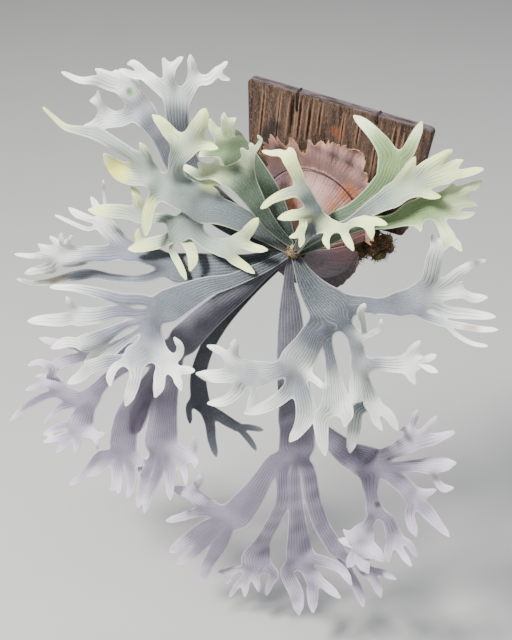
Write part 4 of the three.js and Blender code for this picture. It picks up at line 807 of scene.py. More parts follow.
def build_upper_shield():
    """The old shield's points and faces: its rim reaches further, and is torn, at the top."""
    span, ring, faces = shield_grid(*UPPER_GRID)
    degrees = UPPER_FROM + (UPPER_TO - UPPER_FROM) * span
    angle = np.radians(degrees)
    rim = np.interp(degrees, *zip(*UPPER_RIM)) + 0.03
    left = np.clip((degrees - 140.0) / 20.0, 0.0, 1.0)
    top = np.clip((degrees - 72.0) / 12.0, 0.0, 1.0) * (1 - left)
    rim += 0.13 * top
    rim -= toothed(degrees, 31, 40, 0.26, 3.6) * top + toothed(degrees, 32, 90, 0.09, 1.4) * left
    rim -= (toothed(degrees, 35, 96, 0.07, 1.8) * (1 - left) * (1 - top)
            + torn(degrees, 33, 120, 0.03, 0.9))
    reach = UPPER_START + (rim - UPPER_START) * ring
    crumple = grow_noise(34)
    flat = np.stack([reach * np.cos(angle), reach * np.sin(angle), 0 * angle], axis=1)
    lift = UPPER_LIFT + 0.7 * crumple(flat, 0.45) * ring + 0.9 * np.sin(degrees * 0.5) * ring ** 2
    lift += 0.35 * np.sin(degrees * 1.9 + 2 * crumple(flat, 0.6)) * ring
    place = shield_point(angle, reach, lift, UPPER_FLARE_FROM, UPPER_FLARE_RISE)
    free = np.clip((reach - UPPER_FLARE_FROM) / 0.4, 0.0, 1.0)
    place[:, 1] -= UPPER_CURL * free ** 2 * crumple(flat + 3.0, 0.35)
    values = {"turn": span, "reach": reach, "edge": (rim - reach) * EDGE_WIDTH}
    return place, faces, values


upper_finish = shield_finish(
    "dry_shield", (0.21, 0.097, 0.08), (0.35, 0.178, 0.148), (0.125, 0.053, 0.05), (0.085, 0.033, 0.029),
    (0.42, 0.2, 0.09), (0.29, 0.085, 0.022),
    [((-24, -95, -30), 16.0), ((46, -60, -9), 17.0), ((29, -79, -21), 10.0)],
    pale=((0.4, 0.235, 0.21), [((8, -85, -8), 36.0)]),
    lilac=((0.24, 0.15, 0.19), [((-62, -66, -28), 36.0)]),
    vein_share=0.45)
points, faces, values = build_upper_shield()
shield = solid_sheet("upper_shield", points, faces, SHIELD_THICKNESS, upper_finish, values,
                     lift=CROWN_HEIGHT)
fit(shield, "dry_shield", "shield_upper")

# ---------------------------------------------------------------------------- lower shield frond
# The younger shield frond: a smooth round lobe, purple-grey and still leathery, pressed round the
# underside of the ball and over the ends of the old one.
LOWER_FROM, LOWER_TO = -205.0, 0.0
LOWER_RIM = [(-205, 0.98), (-180, 1.0), (-150, 1.02), (-120, 1.04), (-90, 1.03), (-60, 0.97),
             (-35, 0.93), (-18, 0.85), (0, 0.7)]
LOWER_GRID = (360, 44)
LOWER_START = 0.17
LOWER_LIFT = 5.6
LOWER_FLARE_FROM, LOWER_FLARE_RISE = 0.8, 10.0


def build_lower_shield():
    """The younger shield's points and faces, smooth but for small nicks in its rim."""
    span, ring, faces = shield_grid(*LOWER_GRID)
    degrees = LOWER_FROM + (LOWER_TO - LOWER_FROM) * span
    angle = np.radians(degrees)
    rim = np.interp(degrees, *zip(*LOWER_RIM)) + 0.012 * np.sin(degrees * 0.19)
    rim -= torn(degrees, 41, 26, 0.012, 2.2)
    reach = LOWER_START + (rim - LOWER_START) * ring
    ripple = grow_noise(42)
    flat = np.stack([reach * np.cos(angle), reach * np.sin(angle), 0 * angle], axis=1)
    lift = LOWER_LIFT + 0.5 * ripple(flat, 0.5) * ring + 0.3 * np.sin(degrees * 0.7) * ring
    place = shield_point(angle, reach, lift, LOWER_FLARE_FROM, LOWER_FLARE_RISE)
    return place, faces, {"turn": span, "reach": reach, "edge": (rim - reach) * EDGE_WIDTH}


lower_finish = shield_finish(
    "older_shield", (0.125, 0.094, 0.112), (0.215, 0.163, 0.19), (0.07, 0.05, 0.063), (0.03, 0.02, 0.028),
    (0.14, 0.075, 0.06), (0.17, 0.07, 0.055), [],
    rose=((0.27, 0.105, 0.105), [((62, -80, -74), 52.0)]),
    vein_share=0.95)
points, faces, values = build_lower_shield()
shield = solid_sheet("lower_shield", points, faces, SHIELD_THICKNESS, lower_finish, values,
                     lift=CROWN_HEIGHT)
fit(shield, "older_shield", "shield_lower")

# ---------------------------------------------------------------------------- binding wire
# One thin dark wire that ties ball and shield down: up out of a hole in the slab, around the
# shield's edge, over it from side to side, and down into a second hole.
BINDER_RADIUS = 0.8
BINDER_LIFT = 8.4
BINDER_REACH = 0.83
BINDER_FROM, BINDER_TO, BINDER_STEPS = 18.0, 160.0, 22
BINDER_TURNS = (1.12, 1.22)
BINDER_HOLES = [(84.0, -45.0), (-112.0, -42.0)]
BINDER_SUNK = 6.0


def binder_path():
    """Out of one hole in the slab, round and over the shield, and down into the other."""
    degrees = [BINDER_FROM, *np.linspace(BINDER_FROM, BINDER_TO, BINDER_STEPS + 1), BINDER_TO]
    reach = [BINDER_TURNS[0], *[BINDER_REACH] * (BINDER_STEPS + 1), BINDER_TURNS[1]]
    over = shield_point(np.radians(degrees), np.array(reach), np.full(len(reach), BINDER_LIFT),
                        UPPER_FLARE_FROM, UPPER_FLARE_RISE)
    first, last = ([(x, -BOARD_DEPTH + BINDER_SUNK, z - CROWN_HEIGHT),
                    (x, -BOARD_DEPTH - BINDER_SUNK, z - CROWN_HEIGHT)] for x, z in BINDER_HOLES)
    return [*first, *over, *last[::-1]]


binder = lay_wire("binder", binder_path(), BINDER_RADIUS, lift=CROWN_HEIGHT)
fit(binder, "binding_wire", "binding_wire")

# ---------------------------------------------------------------------------- crown
# The living end of the rhizome: a stub about 2 cm thick, rough with overlapping tan paper scales,
# from which every antler frond springs.
CROWN_CENTRE = np.array((1.0, -123.0, 1.0))
CROWN_RADIUS = 10.5
CROWN_LENGTH = 34.0
CROWN_SUNK = 0.93
SCALES_PER_SQUARE_METRE = 110000.0
SCALE_LENGTH = 6.0


def build_crown():
    """The points and faces of the stub, which leans out of the ball towards the light."""
    unit, faces = round_blob(5, 1.0)
    rough = grow_noise(51)
    side = CROWN_RADIUS * CROWN_SUNK + 0.7 * rough(unit * 10, 5.0) + 0.5 * rough(unit * 10, 2.2)
    turn = Vector((0, 0, 1)).rotation_difference(Vector(LIGHTWARD)).to_matrix()
    spots = unit * np.stack([side, side, 0 * side + CROWN_LENGTH * 0.47], axis=1)
    return spots @ np.array(turn).T + CROWN_CENTRE, faces


def scale_tree():
    """Pointed paper scales that overlap like tiles on a stub, pointing along one direction."""
    bench, (stub, density, length, growth, seed, paper) = open_tree(
        "crown_scales", "Scaly", Stub="Geometry", Density="Float", Length="Float",
        Growth="Vector", Seed="Int", Paper="Material")
    spread = {"Mesh": stub, "Density": density, "Seed": seed}
    spots = bench.add("GeometryNodeDistributePointsOnFaces", {}, spread)
    normal = Value(bench, spots.socket.node.outputs["Normal"])
    leaf = bench.add("GeometryNodeMeshGrid", {}, {
        "Size X": 0.55, "Size Y": 1.0, "Vertices X": 3, "Vertices Y": 4})
    at = bench.add("GeometryNodeInputPosition")
    across = bench.add("ShaderNodeSeparateXYZ", {}, {0: at}, out="X")
    share = bench.add("ShaderNodeSeparateXYZ", {}, {0: at}, out="Y") + 0.5
    narrow = 1.0 - share * share * 0.9
    cup = across * across * -1.6 + share * share * 0.22 + 0.06
    shaped = bench.add("ShaderNodeCombineXYZ", {}, {0: across * narrow, 1: share - 0.15, 2: cup})
    leaf = bench.add("GeometryNodeSetPosition", {}, {0: leaf, "Position": shaped})
    lie = bench.add("FunctionNodeAxesToRotation", {"primary_axis": "Z", "secondary_axis": "Y"}, {
        "Primary Axis": normal, "Secondary Axis": growth})
    tilts = (0.0, -0.2, -0.5), (0.5, 0.2, 0.5)
    return strew(bench, stub, spots, leaf, lie, tilts, (length * 0.6, length), seed, paper)


def scale_finish():
    """Tan paper, darker in patches."""
    paper = Finish("paper_scales", Roughness=0.85, Specular_IOR_Level=0.3)
    fine = paper.noise(420.0, 3.0)
    tone = paper.mix(paper.step(fine, 0.35, 0.65), (0.06, 0.036, 0.02), (0.5, 0.36, 0.21))
    tone = paper.mix(paper.step(paper.noise(160.0), 0.55, 0.68) * 0.7, tone, (0.06, 0.04, 0.03))
    return paper.wear(tone, None, fine, 0.0006, 0.7)


paper_scales = scale_finish()
crown = mesh_piece("scaly_crown", *build_crown(), paper_scales, lift=CROWN_HEIGHT)
crown = use_tree(crown, scale_tree(), Density=SCALES_PER_SQUARE_METRE, Length=SCALE_LENGTH * MM,
                 Growth=tuple(LIGHTWARD), Seed=3, Paper=paper_scales)
fit(crown, "crown_scales", "crown")

# ---------------------------------------------------------------------------- silver antler fronds
# The fertile fronds: long leathery blades, each forking again and again like an antler, with round
# bays between its arms, fine lengthwise veins under a white felt, and a crisp painted highlight along the
# margin.
# These five are the silver ones at the top, the left and the centre.
FROND_THICKNESS = 1.5
GRID_STEP = 1.5
PATH_STEP = 4.0
LEAST_WIDTH = 1.6
BAY_SHARE, BAY_LEAST, BAY_MOST = 0.34, 3.5, 10.0   # how round the bays are, against the width
BAY_REACH = 1.0
KIN_REACH, KIN_ROOM = 1.5, 3.0
MEET_SHARE = 0.95
BLEND = 4.5
SETTLE_TURNS = 9
TIP_LENGTH, TIP_BLUNTNESS, TIP_ROUND = 1.25, 0.8, 0.3
TIP_STEPS = np.array((0.75, 0.5, 0.3, 0.15, 0.05))  # where a tip's outline gets further points
OVERLAP_HEIGHT = 14.0
SHEET_MARGIN = 14.0
CUT_LEAST = 0.02
TUCK = 0.9
ROOT_REACH, ROOT_ROOM = 1.3, 6.0
EDGE_DROOP, EDGE_SPAN = 0.5, 3.0
EDGE_THIN, THIN_SPAN = 0.7, 3.0
WAVE_HEIGHT, WAVE_LENGTH, WAVE_SINK = 1.3, 46.0, 0.35
WAVE_RUN = 80.0
LIGHT_BIAS = 0.8
VEIN_SPACING = 3.2
FAR = 99.0
CARRIED = ("across", "spread", "height", "run", "left")   # what each point of a blade knows

SIDEWAYS = np.cross((0.0, 0.0, 1.0), LIGHTWARD)
SIDEWAYS /= np.linalg.norm(SIDEWAYS)
UPWARD = np.cross(LIGHTWARD, SIDEWAYS)
FLAT = np.stack([SIDEWAYS, UPWARD, LIGHTWARD])


def arm(way, arms=()):
    """A blade through stations [x, out, z, width]; it ends in a tip or forks into further arms."""
    way = np.array(way, float)
    return {"spots": way[:, :3] * (1, -1, 1) @ FLAT.T, "widths": way[:, 3], "arms": list(arms)}


def smooth_way(rows):
    """A smooth curve through rows of numbers, whose first three are a place."""
    gaps = np.maximum(np.linalg.norm(np.diff(rows[:, :3], axis=0), axis=1), 0.5)
    at = np.concatenate([[0.0], np.cumsum(gaps)])
    slopes = np.gradient(rows, at, axis=0)
    fine = np.linspace(0.0, at[-1], max(3, int(at[-1] / PATH_STEP) + 2))
    fine = np.unique(np.concatenate([fine, at]))
    i = np.clip(np.searchsorted(at, fine, side="right") - 1, 0, len(gaps) - 1)
    t = ((fine - at[i]) / gaps[i])[:, None]
    a, b = 2 * t ** 3 - 3 * t ** 2 + 1, t ** 3 - 2 * t ** 2 + t
    c, d = -2 * t ** 3 + 3 * t ** 2, t ** 3 - t ** 2
    gap = gaps[i, None]
    return fine, a * rows[i] + b * gap * slopes[i] + c * rows[i + 1] + d * gap * slopes[i + 1]


def lay_strokes(blade, before, run, span, strokes, parent=None):
    """Turns a tree of arms into strokes: smooth centre lines with their widths, one for each arm.

    before is the way to the fork it springs from, run its distance from the crown and span its
    share of the frond's veins. Returns the distance from the arm's start to its nearest tip.
    """
    spots, widths = blade["spots"], blade["widths"]
    if before is None:
        rows = np.column_stack([spots, widths])
        skip = 0.0
    else:
        start = np.append(before[-1], min(widths[0] * 0.9, strokes[parent]["width"]))
        lead = np.append(before[-2], strokes[parent]["width"])
        rows = np.vstack([lead, start, np.column_stack([spots, widths])])
        skip = max(np.linalg.norm(before[-1] - before[-2]), 0.5)
    at, curve = smooth_way(rows)
    keep = at >= skip - 1e-6
    at, curve = at[keep] - skip, curve[keep]
    rounded = 1.0
    if not blade["arms"]:
        taper = TIP_LENGTH * widths[-1]
        extra = at[-1] - taper * TIP_STEPS
        extra = extra[extra > at[0]]
        more = np.stack([np.interp(extra, at, column) for column in curve.T], axis=1)
        order = np.argsort(np.concatenate([at, extra]))
        at = np.concatenate([at, extra])[order]
        curve = np.concatenate([curve, more])[order]
        to_end = np.clip((at[-1] - at) / taper, 0.0, 1.0)
        rounded = TIP_ROUND + (1 - TIP_ROUND) * to_end ** TIP_BLUNTNESS
    half = np.maximum(curve[:, 3], LEAST_WIDTH) / 2 * rounded
    me = len(strokes)
    first = max([np.linalg.norm(b["spots"][0] - spots[-1]) for b in blade["arms"]] or [0.0])
    stroke = {"place": curve[:, :2], "height": curve[:, 2], "half": half, "run": run + at,
              "span": span, "parent": parent, "width": widths[-1], "arms": [],
              "fork": spots[-1], "first": first}
    strokes.append(stroke)
    path = np.vstack([before[-1:], spots]) if before is not None else spots
    along = path[-1, :2] - path[-2, :2]

    def bearing(branch):
        away = branch["spots"][0, :2] - spots[-1, :2]
        return math.atan2(along[0] * away[1] - along[1] * away[0], along @ away)

    ordered = sorted(blade["arms"], key=bearing)
    shares = np.array([branch["widths"][0] for branch in ordered])
    shares = np.concatenate([[0.0], np.cumsum(shares)]) / max(shares.sum(), 1.0)
    bounds = span[0] + (span[1] - span[0]) * shares
    reaches = []
    for branch, low, high in zip(ordered, bounds, bounds[1:]):
        stroke["arms"].append(len(strokes))
        reaches.append(lay_strokes(branch, path, run + at[-1], (low, high), strokes, me))
    beyond = min(reaches, default=0.0)
    stroke["left"] = beyond + at[-1] - at
    return beyond + at[-1]


def crosses(first, second, spare=None, reach=0.0):
    """Whether two strokes pass over each other, seen from the front, at different heights."""
    gap = np.linalg.norm(first["place"][:, None] - second["place"][None], axis=2)
    near = gap < MEET_SHARE * (first["half"][:, None] + second["half"][None])
    apart = np.abs(first["height"][:, None] - second["height"][None]) > OVERLAP_HEIGHT
    meet = near & apart
    if spare is not None:
        far = np.linalg.norm(first["place"] - spare, axis=1) > reach
        meet &= far[:, None]
    return meet.any()


def sort_into_sheets(strokes):
    """Arms that pass over broader arms of their frond go on sheets of their own."""
    sheets = [[]]
    waiting = [0]
    while waiting:
        i = max(waiting, key=lambda k: strokes[k]["width"])
        waiting.remove(i)
        stroke = strokes[i]
        waiting += stroke["arms"]
        up = stroke["parent"]
        stroke["sheet"] = strokes[up]["sheet"] if up is not None else 0
        if up is not None:
            fork = strokes[up]
            reach = KIN_REACH * fork["width"] + KIN_ROOM
            for k in sheets[stroke["sheet"]]:
                spare, room = (fork["fork"][:2], reach) if k == up else (None, 0.0)
                if strokes[k]["parent"] != up and crosses(stroke, strokes[k], spare, room):
                    stroke["sheet"] = len(sheets)
                    sheets.append([])
                    break
        sheets[stroke["sheet"]].append(i)
    return sheets


def measure(stroke, spots):
    """Signed distance from the stroke's margin at each spot, and what the stroke carries there."""
    start, end = stroke["place"][:-1], stroke["place"][1:]
    way = end - start
    long = np.maximum((way ** 2).sum(axis=1), 1e-9)
    from_start = spots[:, None] - start[None]
    t = np.clip((from_start * way).sum(axis=2) / long, 0.0, 1.0)
    off = from_start - t[..., None] * way
    away = np.linalg.norm(off, axis=2)
    half = stroke["half"][:-1] + t * np.diff(stroke["half"])
    best = (away - half).argmin(axis=1)
    row = np.arange(len(spots))
    t, away, half = t[row, best], away[row, best], half[row, best]
    side = np.sign(way[best, 0] * off[row, best, 1] - way[best, 1] * off[row, best, 0])
    share = 0.5 + 0.5 * np.clip(side * away / np.maximum(half, 0.5), -1.2, 1.2)
    low, high = stroke["span"]
    found = {"distance": away - half, "across": low + (high - low) * share,
             "spread": 2 * half / max(high - low, 1e-3)}
    for key in ("height", "run", "left"):
        found[key] = stroke[key][best] * (1 - t) + stroke[key][best + 1] * t
    return found


def soften(first, second, round_):
    """The union of two shapes, given by distance, with a fillet between them."""
    near = np.clip(round_ - np.abs(first - second), 0.0, None) / np.maximum(round_, 1e-6)
    return np.minimum(first, second) - near ** 2 * round_ / 4


def merge(strokes, members, i, fields, spots):
    """Distance from the margin of an arm with all the arms beyond it on its sheet."""
    stroke = strokes[i]
    whole = fields[i]["distance"]
    from_fork = np.linalg.norm(spots - stroke["fork"][:2], axis=1)
    size = np.clip(BAY_SHARE * stroke["width"], BAY_LEAST, BAY_MOST)
    reach = BAY_REACH * (stroke["width"] + stroke["first"])
    round_ = size * np.exp(-(from_fork / reach) ** 4)
    for k in stroke["arms"]:
        if k in members:
            whole = soften(whole, merge(strokes, members, k, fields, spots), round_)
    return whole


def cut_out(distance, wide):
    """Faces of a grid of points that lie inside, with their corner points on the margin itself."""
    inside = (distance < 0).reshape(-1, wide)
    node = np.arange(distance.size).reshape(-1, wide)
    corners = cells(node)
    count = inside.ravel()[corners].sum(axis=1)
    faces = corners[count == 4].tolist()
    pairs, places = [], {}
    for cell in corners[(count > 0) & (count < 4)].tolist():
        ring = []
        for a, b in zip(cell, cell[1:] + cell[:1]):
            if distance[a] < 0:
                ring.append(a)
            if (distance[a] < 0) != (distance[b] < 0):
                key = (min(a, b), max(a, b))
                if key not in places:
                    places[key] = distance.size + len(pairs)
                    pairs.append(key)
                ring.append(places[key])
        for k in range(1, len(ring) - 1, 2):
            faces.append([ring[0], ring[k], ring[k + 1], ring[min(k + 2, len(ring) - 1)]])
    pairs = np.array(pairs)
    share = distance[pairs[:, 0]] / (distance[pairs[:, 0]] - distance[pairs[:, 1]])
    return np.array(faces), pairs, np.clip(share, CUT_LEAST, 1.0 - CUT_LEAST)


def settle(values, inside, wide):
    """Evens numbers on a grid out, among the points that lie inside."""
    inside = inside.reshape(-1, wide).astype(float)
    level = values.reshape(-1, wide)
    for _ in range(SETTLE_TURNS):
        total, count = np.pad(level * inside, 1), np.pad(inside, 1)
        for _ in range(2):      # down the columns, then along the rows
            total = (total[:-2] + total[1:-1] + total[2:]).T
            count = (count[:-2] + count[1:-1] + count[2:]).T
        level = np.where(inside > 0, total / np.maximum(count, 1.0), level)
    return level.ravel()


def spread_sheet(strokes, members, corner, below):
    """One flat-lying sheet: its points, its faces and what its surface carries."""
    reach = np.concatenate([strokes[i]["place"] for i in members])
    low = reach.min(axis=0) - SHEET_MARGIN
    low = corner + np.floor((low - corner) / GRID_STEP) * GRID_STEP
    high = reach.max(axis=0) + SHEET_MARGIN
    steps = [np.arange(a, b, GRID_STEP) for a, b in zip(low, high)]
    wide = len(steps[0])
    grid = np.stack(np.meshgrid(*steps), axis=-1).reshape(-1, 2)
    tops = [i for i in members if strokes[i]["parent"] not in members]
    kin = [strokes[i]["parent"] for i in tops if strokes[i]["parent"] is not None]
    kin += [k for i in members for k in strokes[i]["arms"] if k not in members]
    fields = {}
    for i in [*members, *kin]:
        stroke = strokes[i]
        room = 1.5 * stroke["half"].max() + SHEET_MARGIN
        box_low, box_high = stroke["place"].min(axis=0) - room, stroke["place"].max(axis=0) + room
        near = np.all((grid > box_low) & (grid < box_high), axis=1)
        field = {key: np.full(len(grid), FAR if key == "distance" else 0.0)
                 for key in ("distance", *CARRIED)}
        for key, value in measure(stroke, grid[near]).items():
            field[key][near] = value
        fields[i] = field
    distance = np.full(len(grid), FAR)
    for i in tops:
        distance = np.minimum(distance, merge(strokes, set(members), i, fields, grid))
    each = np.stack([fields[i]["distance"] for i in members])
    weight = np.exp(-(each - each.min(axis=0)) / BLEND)
    weight /= weight.sum(axis=0)
    values = {}
    for key in CARRIED:
        mixed = (weight * np.stack([fields[i][key] for i in members])).sum(axis=0)
        values[key] = settle(mixed, distance < 2 * GRID_STEP, wide)
    first = strokes[tops[0]]
    if first["parent"] is not None:
        room = ROOT_REACH * first["width"] + ROOT_ROOM
        rooted = np.clip(1.0 - (values["run"] - first["run"][0]) / room, 0.0, 1.0)
        rooted = rooted ** 2 * (3.0 - 2.0 * rooted)
        under = below[strokes[first["parent"]]["sheet"]]
        cell = np.rint((grid - under["low"]) / GRID_STEP).astype(int)
        cell = np.clip(cell, 0, np.array(under["height"].shape[::-1]) - 1)
        parent_height = under["height"][cell[:, 1], cell[:, 0]]
        values["height"] = values["height"] * (1.0 - rooted) + (parent_height - TUCK) * rooted
    below.append({"low": low, "height": values["height"].reshape(-1, wide)})
    faces, pairs, share = cut_out(distance, wide)
    deepest = np.min([distance, *(fields[i]["distance"] for i in kin)], axis=0)
    values["edge"] = np.maximum(-deepest, 0.0)
    values["single"] = weight.max(axis=0)
    values["x"], values["y"] = grid.T
    for key, value in values.items():
        on_margin = value[pairs[:, 0]] * (1 - share) + value[pairs[:, 1]] * share
        values[key] = np.concatenate([value, on_margin])
    used, flat = np.unique(faces, return_inverse=True)
    return {key: value[used] for key, value in values.items()}, flat.reshape(faces.shape)


def build_frond(name, finish, slot, node, seed, way, arms):
    """One frond: its way from the crown and its arms become sheets, then one solid piece."""
    strokes = []
    lay_strokes(arm(way, arms), None, 0.0, (0.0, 1.0), strokes)
    carried, faces, below, total = [], [], [], 0
    corner = np.concatenate([stroke["place"] for stroke in strokes]).min(axis=0)
    for members in sort_into_sheets(strokes):
        values, sheet_faces = spread_sheet(strokes, members, corner, below)
        carried.append(values)
        faces.append(sheet_faces + total)
        total += len(values["x"])
    values = {key: np.concatenate([part[key] for part in carried]) for key in carried[0]}
    wave = grow_noise(seed)
    flat = np.stack([values["x"], values["y"], values["height"]], axis=1)
    free = np.clip(values["run"] / WAVE_RUN, 0, 1)
    droop = EDGE_DROOP * (1.0 - np.exp(-values["edge"] / EDGE_SPAN))
    flat[:, 2] += WAVE_HEIGHT * (wave(flat, WAVE_LENGTH) - WAVE_SINK) * free + droop - EDGE_DROOP
    full = np.clip(values["edge"] / THIN_SPAN, 0, 1)
    thickness = FROND_THICKNESS * (EDGE_THIN + (1 - EDGE_THIN) * full)
    kept = {"across": values["across"] + seed, "run": values["run"], "tip": values["left"],
            "edge": values["edge"], "spread": values["spread"], "single": values["single"]}
    frond = solid_sheet(name, flat @ FLAT, np.concatenate(faces), thickness, finish, kept,
                        LIGHT_BIAS, CROWN_HEIGHT)
    fit(frond, slot, node)


def frond_finish(name, shade, body, pale, tip, near_line, far_line, full_run,
                 tip_run=82.0, depth=0.6, spots=()):
    """Felted blade: dark near the crown, partly the stalk's own tone and partly painted shade, then body,
    pale further out and creamy at the tips.

    Its veins run from near_line to far_line in colour over full_run millimetres. Their number
    doubles wherever they would stand more than about VEIN_SPACING apart.
    """
    felt = Finish(name, Specular_IOR_Level=0.25, Sheen_Weight=0.12, Sheen_Roughness=0.5)
    run = felt.attribute("run")
    to_tip = felt.attribute("tip")
    edge = felt.attribute("edge")
    across = felt.attribute("across")
    spread = felt.attribute("spread")
    cloud = felt.noise(24.0, 3.0)
    fine = felt.noise(900.0, 2.0)
    out = (run / full_run) + (cloud - 0.5) * 0.3
    # shade: painted shade near the crown, where the fronds overlap, over the stalk's own darker tone
    tone = felt.mix(felt.step(out, 0.05, 0.45), shade, body)
    tone = felt.mix(felt.step(out, 0.4, 0.95), tone, pale)
    tone = felt.mix(felt.step(to_tip + (cloud - 0.5) * 40.0, 8.0, tip_run, 0.94, 0.0), tone, tip)
    line_tone = felt.mix(felt.step(out, 0.3, 0.75), near_line, far_line)
    wobble = (felt.noise(70.0, 2.0) - 0.5) * 0.4
    level = (spread / VEIN_SPACING).math("LOGARITHM", 2.0)
    octave = level.math("FLOOR")
    part = level - octave
    crowd = octave.after("POWER", 2.0)
    lines = []
    for double in (1.0, 2.0):
        saw = (across * crowd * double + wobble).math("FRACT")
        lines.append(felt.step((saw - 0.5).math("ABSOLUTE"), 0.22, 0.48))
    blend = felt.step(part, 0.1, 0.9)
    line = lines[0] * (1.0 - blend) + lines[1] * blend
    strength = felt.step(felt.noise(34.0, 2.0), 0.3, 0.7, 0.55, 1.0)
    inside = felt.step(edge, 0.6, 3.0)
    faint = felt.step(to_tip, 3.0, 55.0, 0.2, 1.0)
    faint = faint * felt.step(felt.attribute("single"), 0.45, 0.85, 0.25, 1.0)
    faint = faint * felt.step(run, 0.0, 150.0, 0.45, 1.0)
    tone = felt.mix(line * strength * inside * faint * depth, tone, line_tone)
    for color, centre, radius, amount in spots:
        tone = felt.mix(felt.spot(centre, radius, 0.75, 0.5) * amount, tone, color)
    # painted highlight: a pale band along each blade's margin; the same band also raises the margin a
    # little in the relief
    rim = felt.step(edge, 0.2, 1.5, 1.0, 0.0)
    margin_highlight_tone = tuple(0.25 + 0.55 * c for c in tip)
    tone = felt.mix(rim * felt.step(run, 20.0, 120.0, 0.2, 0.45), tone, margin_highlight_tone)
    dots = felt.step(fine, 0.55, 0.7)
    tone = felt.mix(dots * 0.12, tone, (1.0, 1.0, 1.0))
    fleck = felt.step(felt.noise(300.0, 2.0), 0.68, 0.74) * felt.step(felt.noise(20.0), 0.5, 0.6)
    tone = felt.mix(fleck * 0.5, tone, (0.07, 0.07, 0.06))
    relief = line * inside * faint * -0.7 + rim * 0.5 + fine * 0.1
    return felt.wear(tone, felt.step(fine, 0.3, 0.7, 0.85, 0.6), relief, 0.0007, 0.6)


dry_tan = (0.33, 0.22, 0.13)
silver_felt = frond_finish(
    "silver_felt", (0.03, 0.038, 0.044), (0.088, 0.102, 0.122), (0.23, 0.247, 0.295), (0.93, 0.98, 0.88),
    (0.2, 0.23, 0.255), (0.078, 0.092, 0.128), 330.0, tip_run=98.0, depth=0.75,
    spots=[((0.09, 0.27, 0.04), (-227, -140, 97), 8.0, 0.85), (dry_tan, (-257, -171, -34), 12.0, 0.8),
           (dry_tan, (-385, -200, -214), 28.0, 0.7), (dry_tan, (-340, -190, -202), 26.0, 0.6),
           (dry_tan, (248, -139, -94), 17.0, 0.75)])
build_frond("tall_frond", silver_felt, "silver_frond", "frond_tall", 60, [
    [-5, 121, 5, 10], [-44, 125, 19, 15], [-95, 132, 47, 20], [-132, 138, 81, 24], [-146, 143, 115, 25],
    [-150, 147, 146, 26], [-149, 150, 170, 28], [-148, 151, 182, 30]], [
  arm([[-168, 152, 195, 14], [-184, 154, 207, 14]], [
    arm([[-195, 156, 218, 10], [-206, 158, 225, 7], [-212, 160, 224, 5]]),
    arm([[-207, 150, 202, 7], [-234, 146, 203, 5]]),
  ]),
  arm([[-153, 156, 210, 12], [-151, 160, 227, 15]], [
    arm([[-154, 163, 238, 7], [-155, 165, 246, 5]]),
    arm([[-141, 162, 240, 8], [-128, 165, 253, 5]]),
  ]),
  arm([[-129, 152, 205, 17], [-119, 156, 222, 16]], [
    arm([[-118, 160, 240, 10], [-119, 162, 256, 7]]),
    arm([[-103, 152, 224, 12], [-89, 152, 238, 10]], [
      arm([[-80, 154, 249, 6], [-73, 156, 257, 5]]),
      arm([[-84, 148, 229, 6], [-76, 146, 228, 5]]),
    ]),
  ]),
])
build_frond("back_left_frond", silver_felt, "silver_frond", "frond_back_left", 61, [
    [-10, 118, -1, 10], [-52, 121, -1, 16], [-105, 123, 10, 20], [-151, 127, 39, 21],
    [-178, 129, 84, 19], [-191, 131, 115, 20], [-203, 133, 134, 25], [-211, 134, 145, 30]], [
  arm([[-222, 137, 164, 25], [-229, 139, 176, 27]], [
    arm([[-222, 141, 192, 12], [-232, 143, 197, 7], [-243, 144, 200, 5]]),
    arm([[-241, 143, 186, 11], [-255, 148, 194, 9], [-268, 152, 200, 5]]),
    arm([[-253, 140, 173, 11], [-271, 145, 179, 10], [-294, 152, 178, 8], [-315, 160, 187, 5]]),
  ]),
  arm([[-246, 132, 127, 19], [-271, 132, 120, 21]], [
    arm([[-274, 136, 135, 12], [-280, 139, 147, 12]], [
      arm([[-277, 140, 156, 5], [-275, 141, 163, 4]]),
      arm([[-287, 141, 146, 5], [-289, 142, 146, 4]]),
    ]),
    arm([[-301, 128, 96, 19], [-323, 124, 88, 9]]),
  ]),
])
build_frond("left_frond", silver_felt, "silver_frond", "frond_left", 62, [
    [-5, 123, 0, 9], [-35, 131, -18, 18], [-59, 141, -30, 26], [-90, 150, -38, 31],
    [-121, 160, -45, 37], [-148, 167, -52, 40]], [
  arm([[-178, 170, -44, 24], [-202, 173, -44, 24], [-222, 176, -44, 27]], [
    arm([[-242, 174, -31, 23], [-258, 173, -18, 24]], [
      arm([[-258, 170, 4, 7], [-259, 170, 28, 4], [-256, 172, 54, 3]]),
      arm([[-272, 168, -3, 9], [-279, 166, 7, 9], [-285, 165, 15, 7]]),
      arm([[-289, 174, -14, 9], [-305, 175, -12, 10], [-317, 176, -6, 5]]),
      arm([[-287, 177, -30, 5], [-312, 183, -23, 5], [-331, 190, -14, 4]]),
    ]),
    arm([[-251, 184, -54, 22], [-276, 191, -59, 22], [-299, 198, -66, 27], [-310, 202, -67, 30]], [
      arm([[-314, 205, -50, 12]], [
        arm([[-299, 206, -33, 4], [-292, 207, -24, 4]]),
        arm([[-309, 208, -36, 7], [-306, 210, -24, 5]]),
        arm([[-323, 207, -42, 7], [-329, 209, -37, 4]]),
      ]),
      arm([[-336, 208, -62, 12], [-342, 210, -59, 8], [-349, 212, -55, 5]]),
      arm([[-339, 210, -72, 10], [-364, 215, -78, 7], [-387, 220, -80, 4]]),
      arm([[-340, 204, -97, 13], [-361, 207, -106, 10], [-383, 210, -117, 9]]),
    ]),
  ]),
  arm([[-179, 166, -73, 12], [-213, 167, -93, 11], [-258, 172, -104, 11], [-288, 178, -105, 13],
    [-320, 184, -118, 13], [-355, 192, -134, 9], [-383, 200, -141, 6], [-403, 208, -136, 4]]),
])
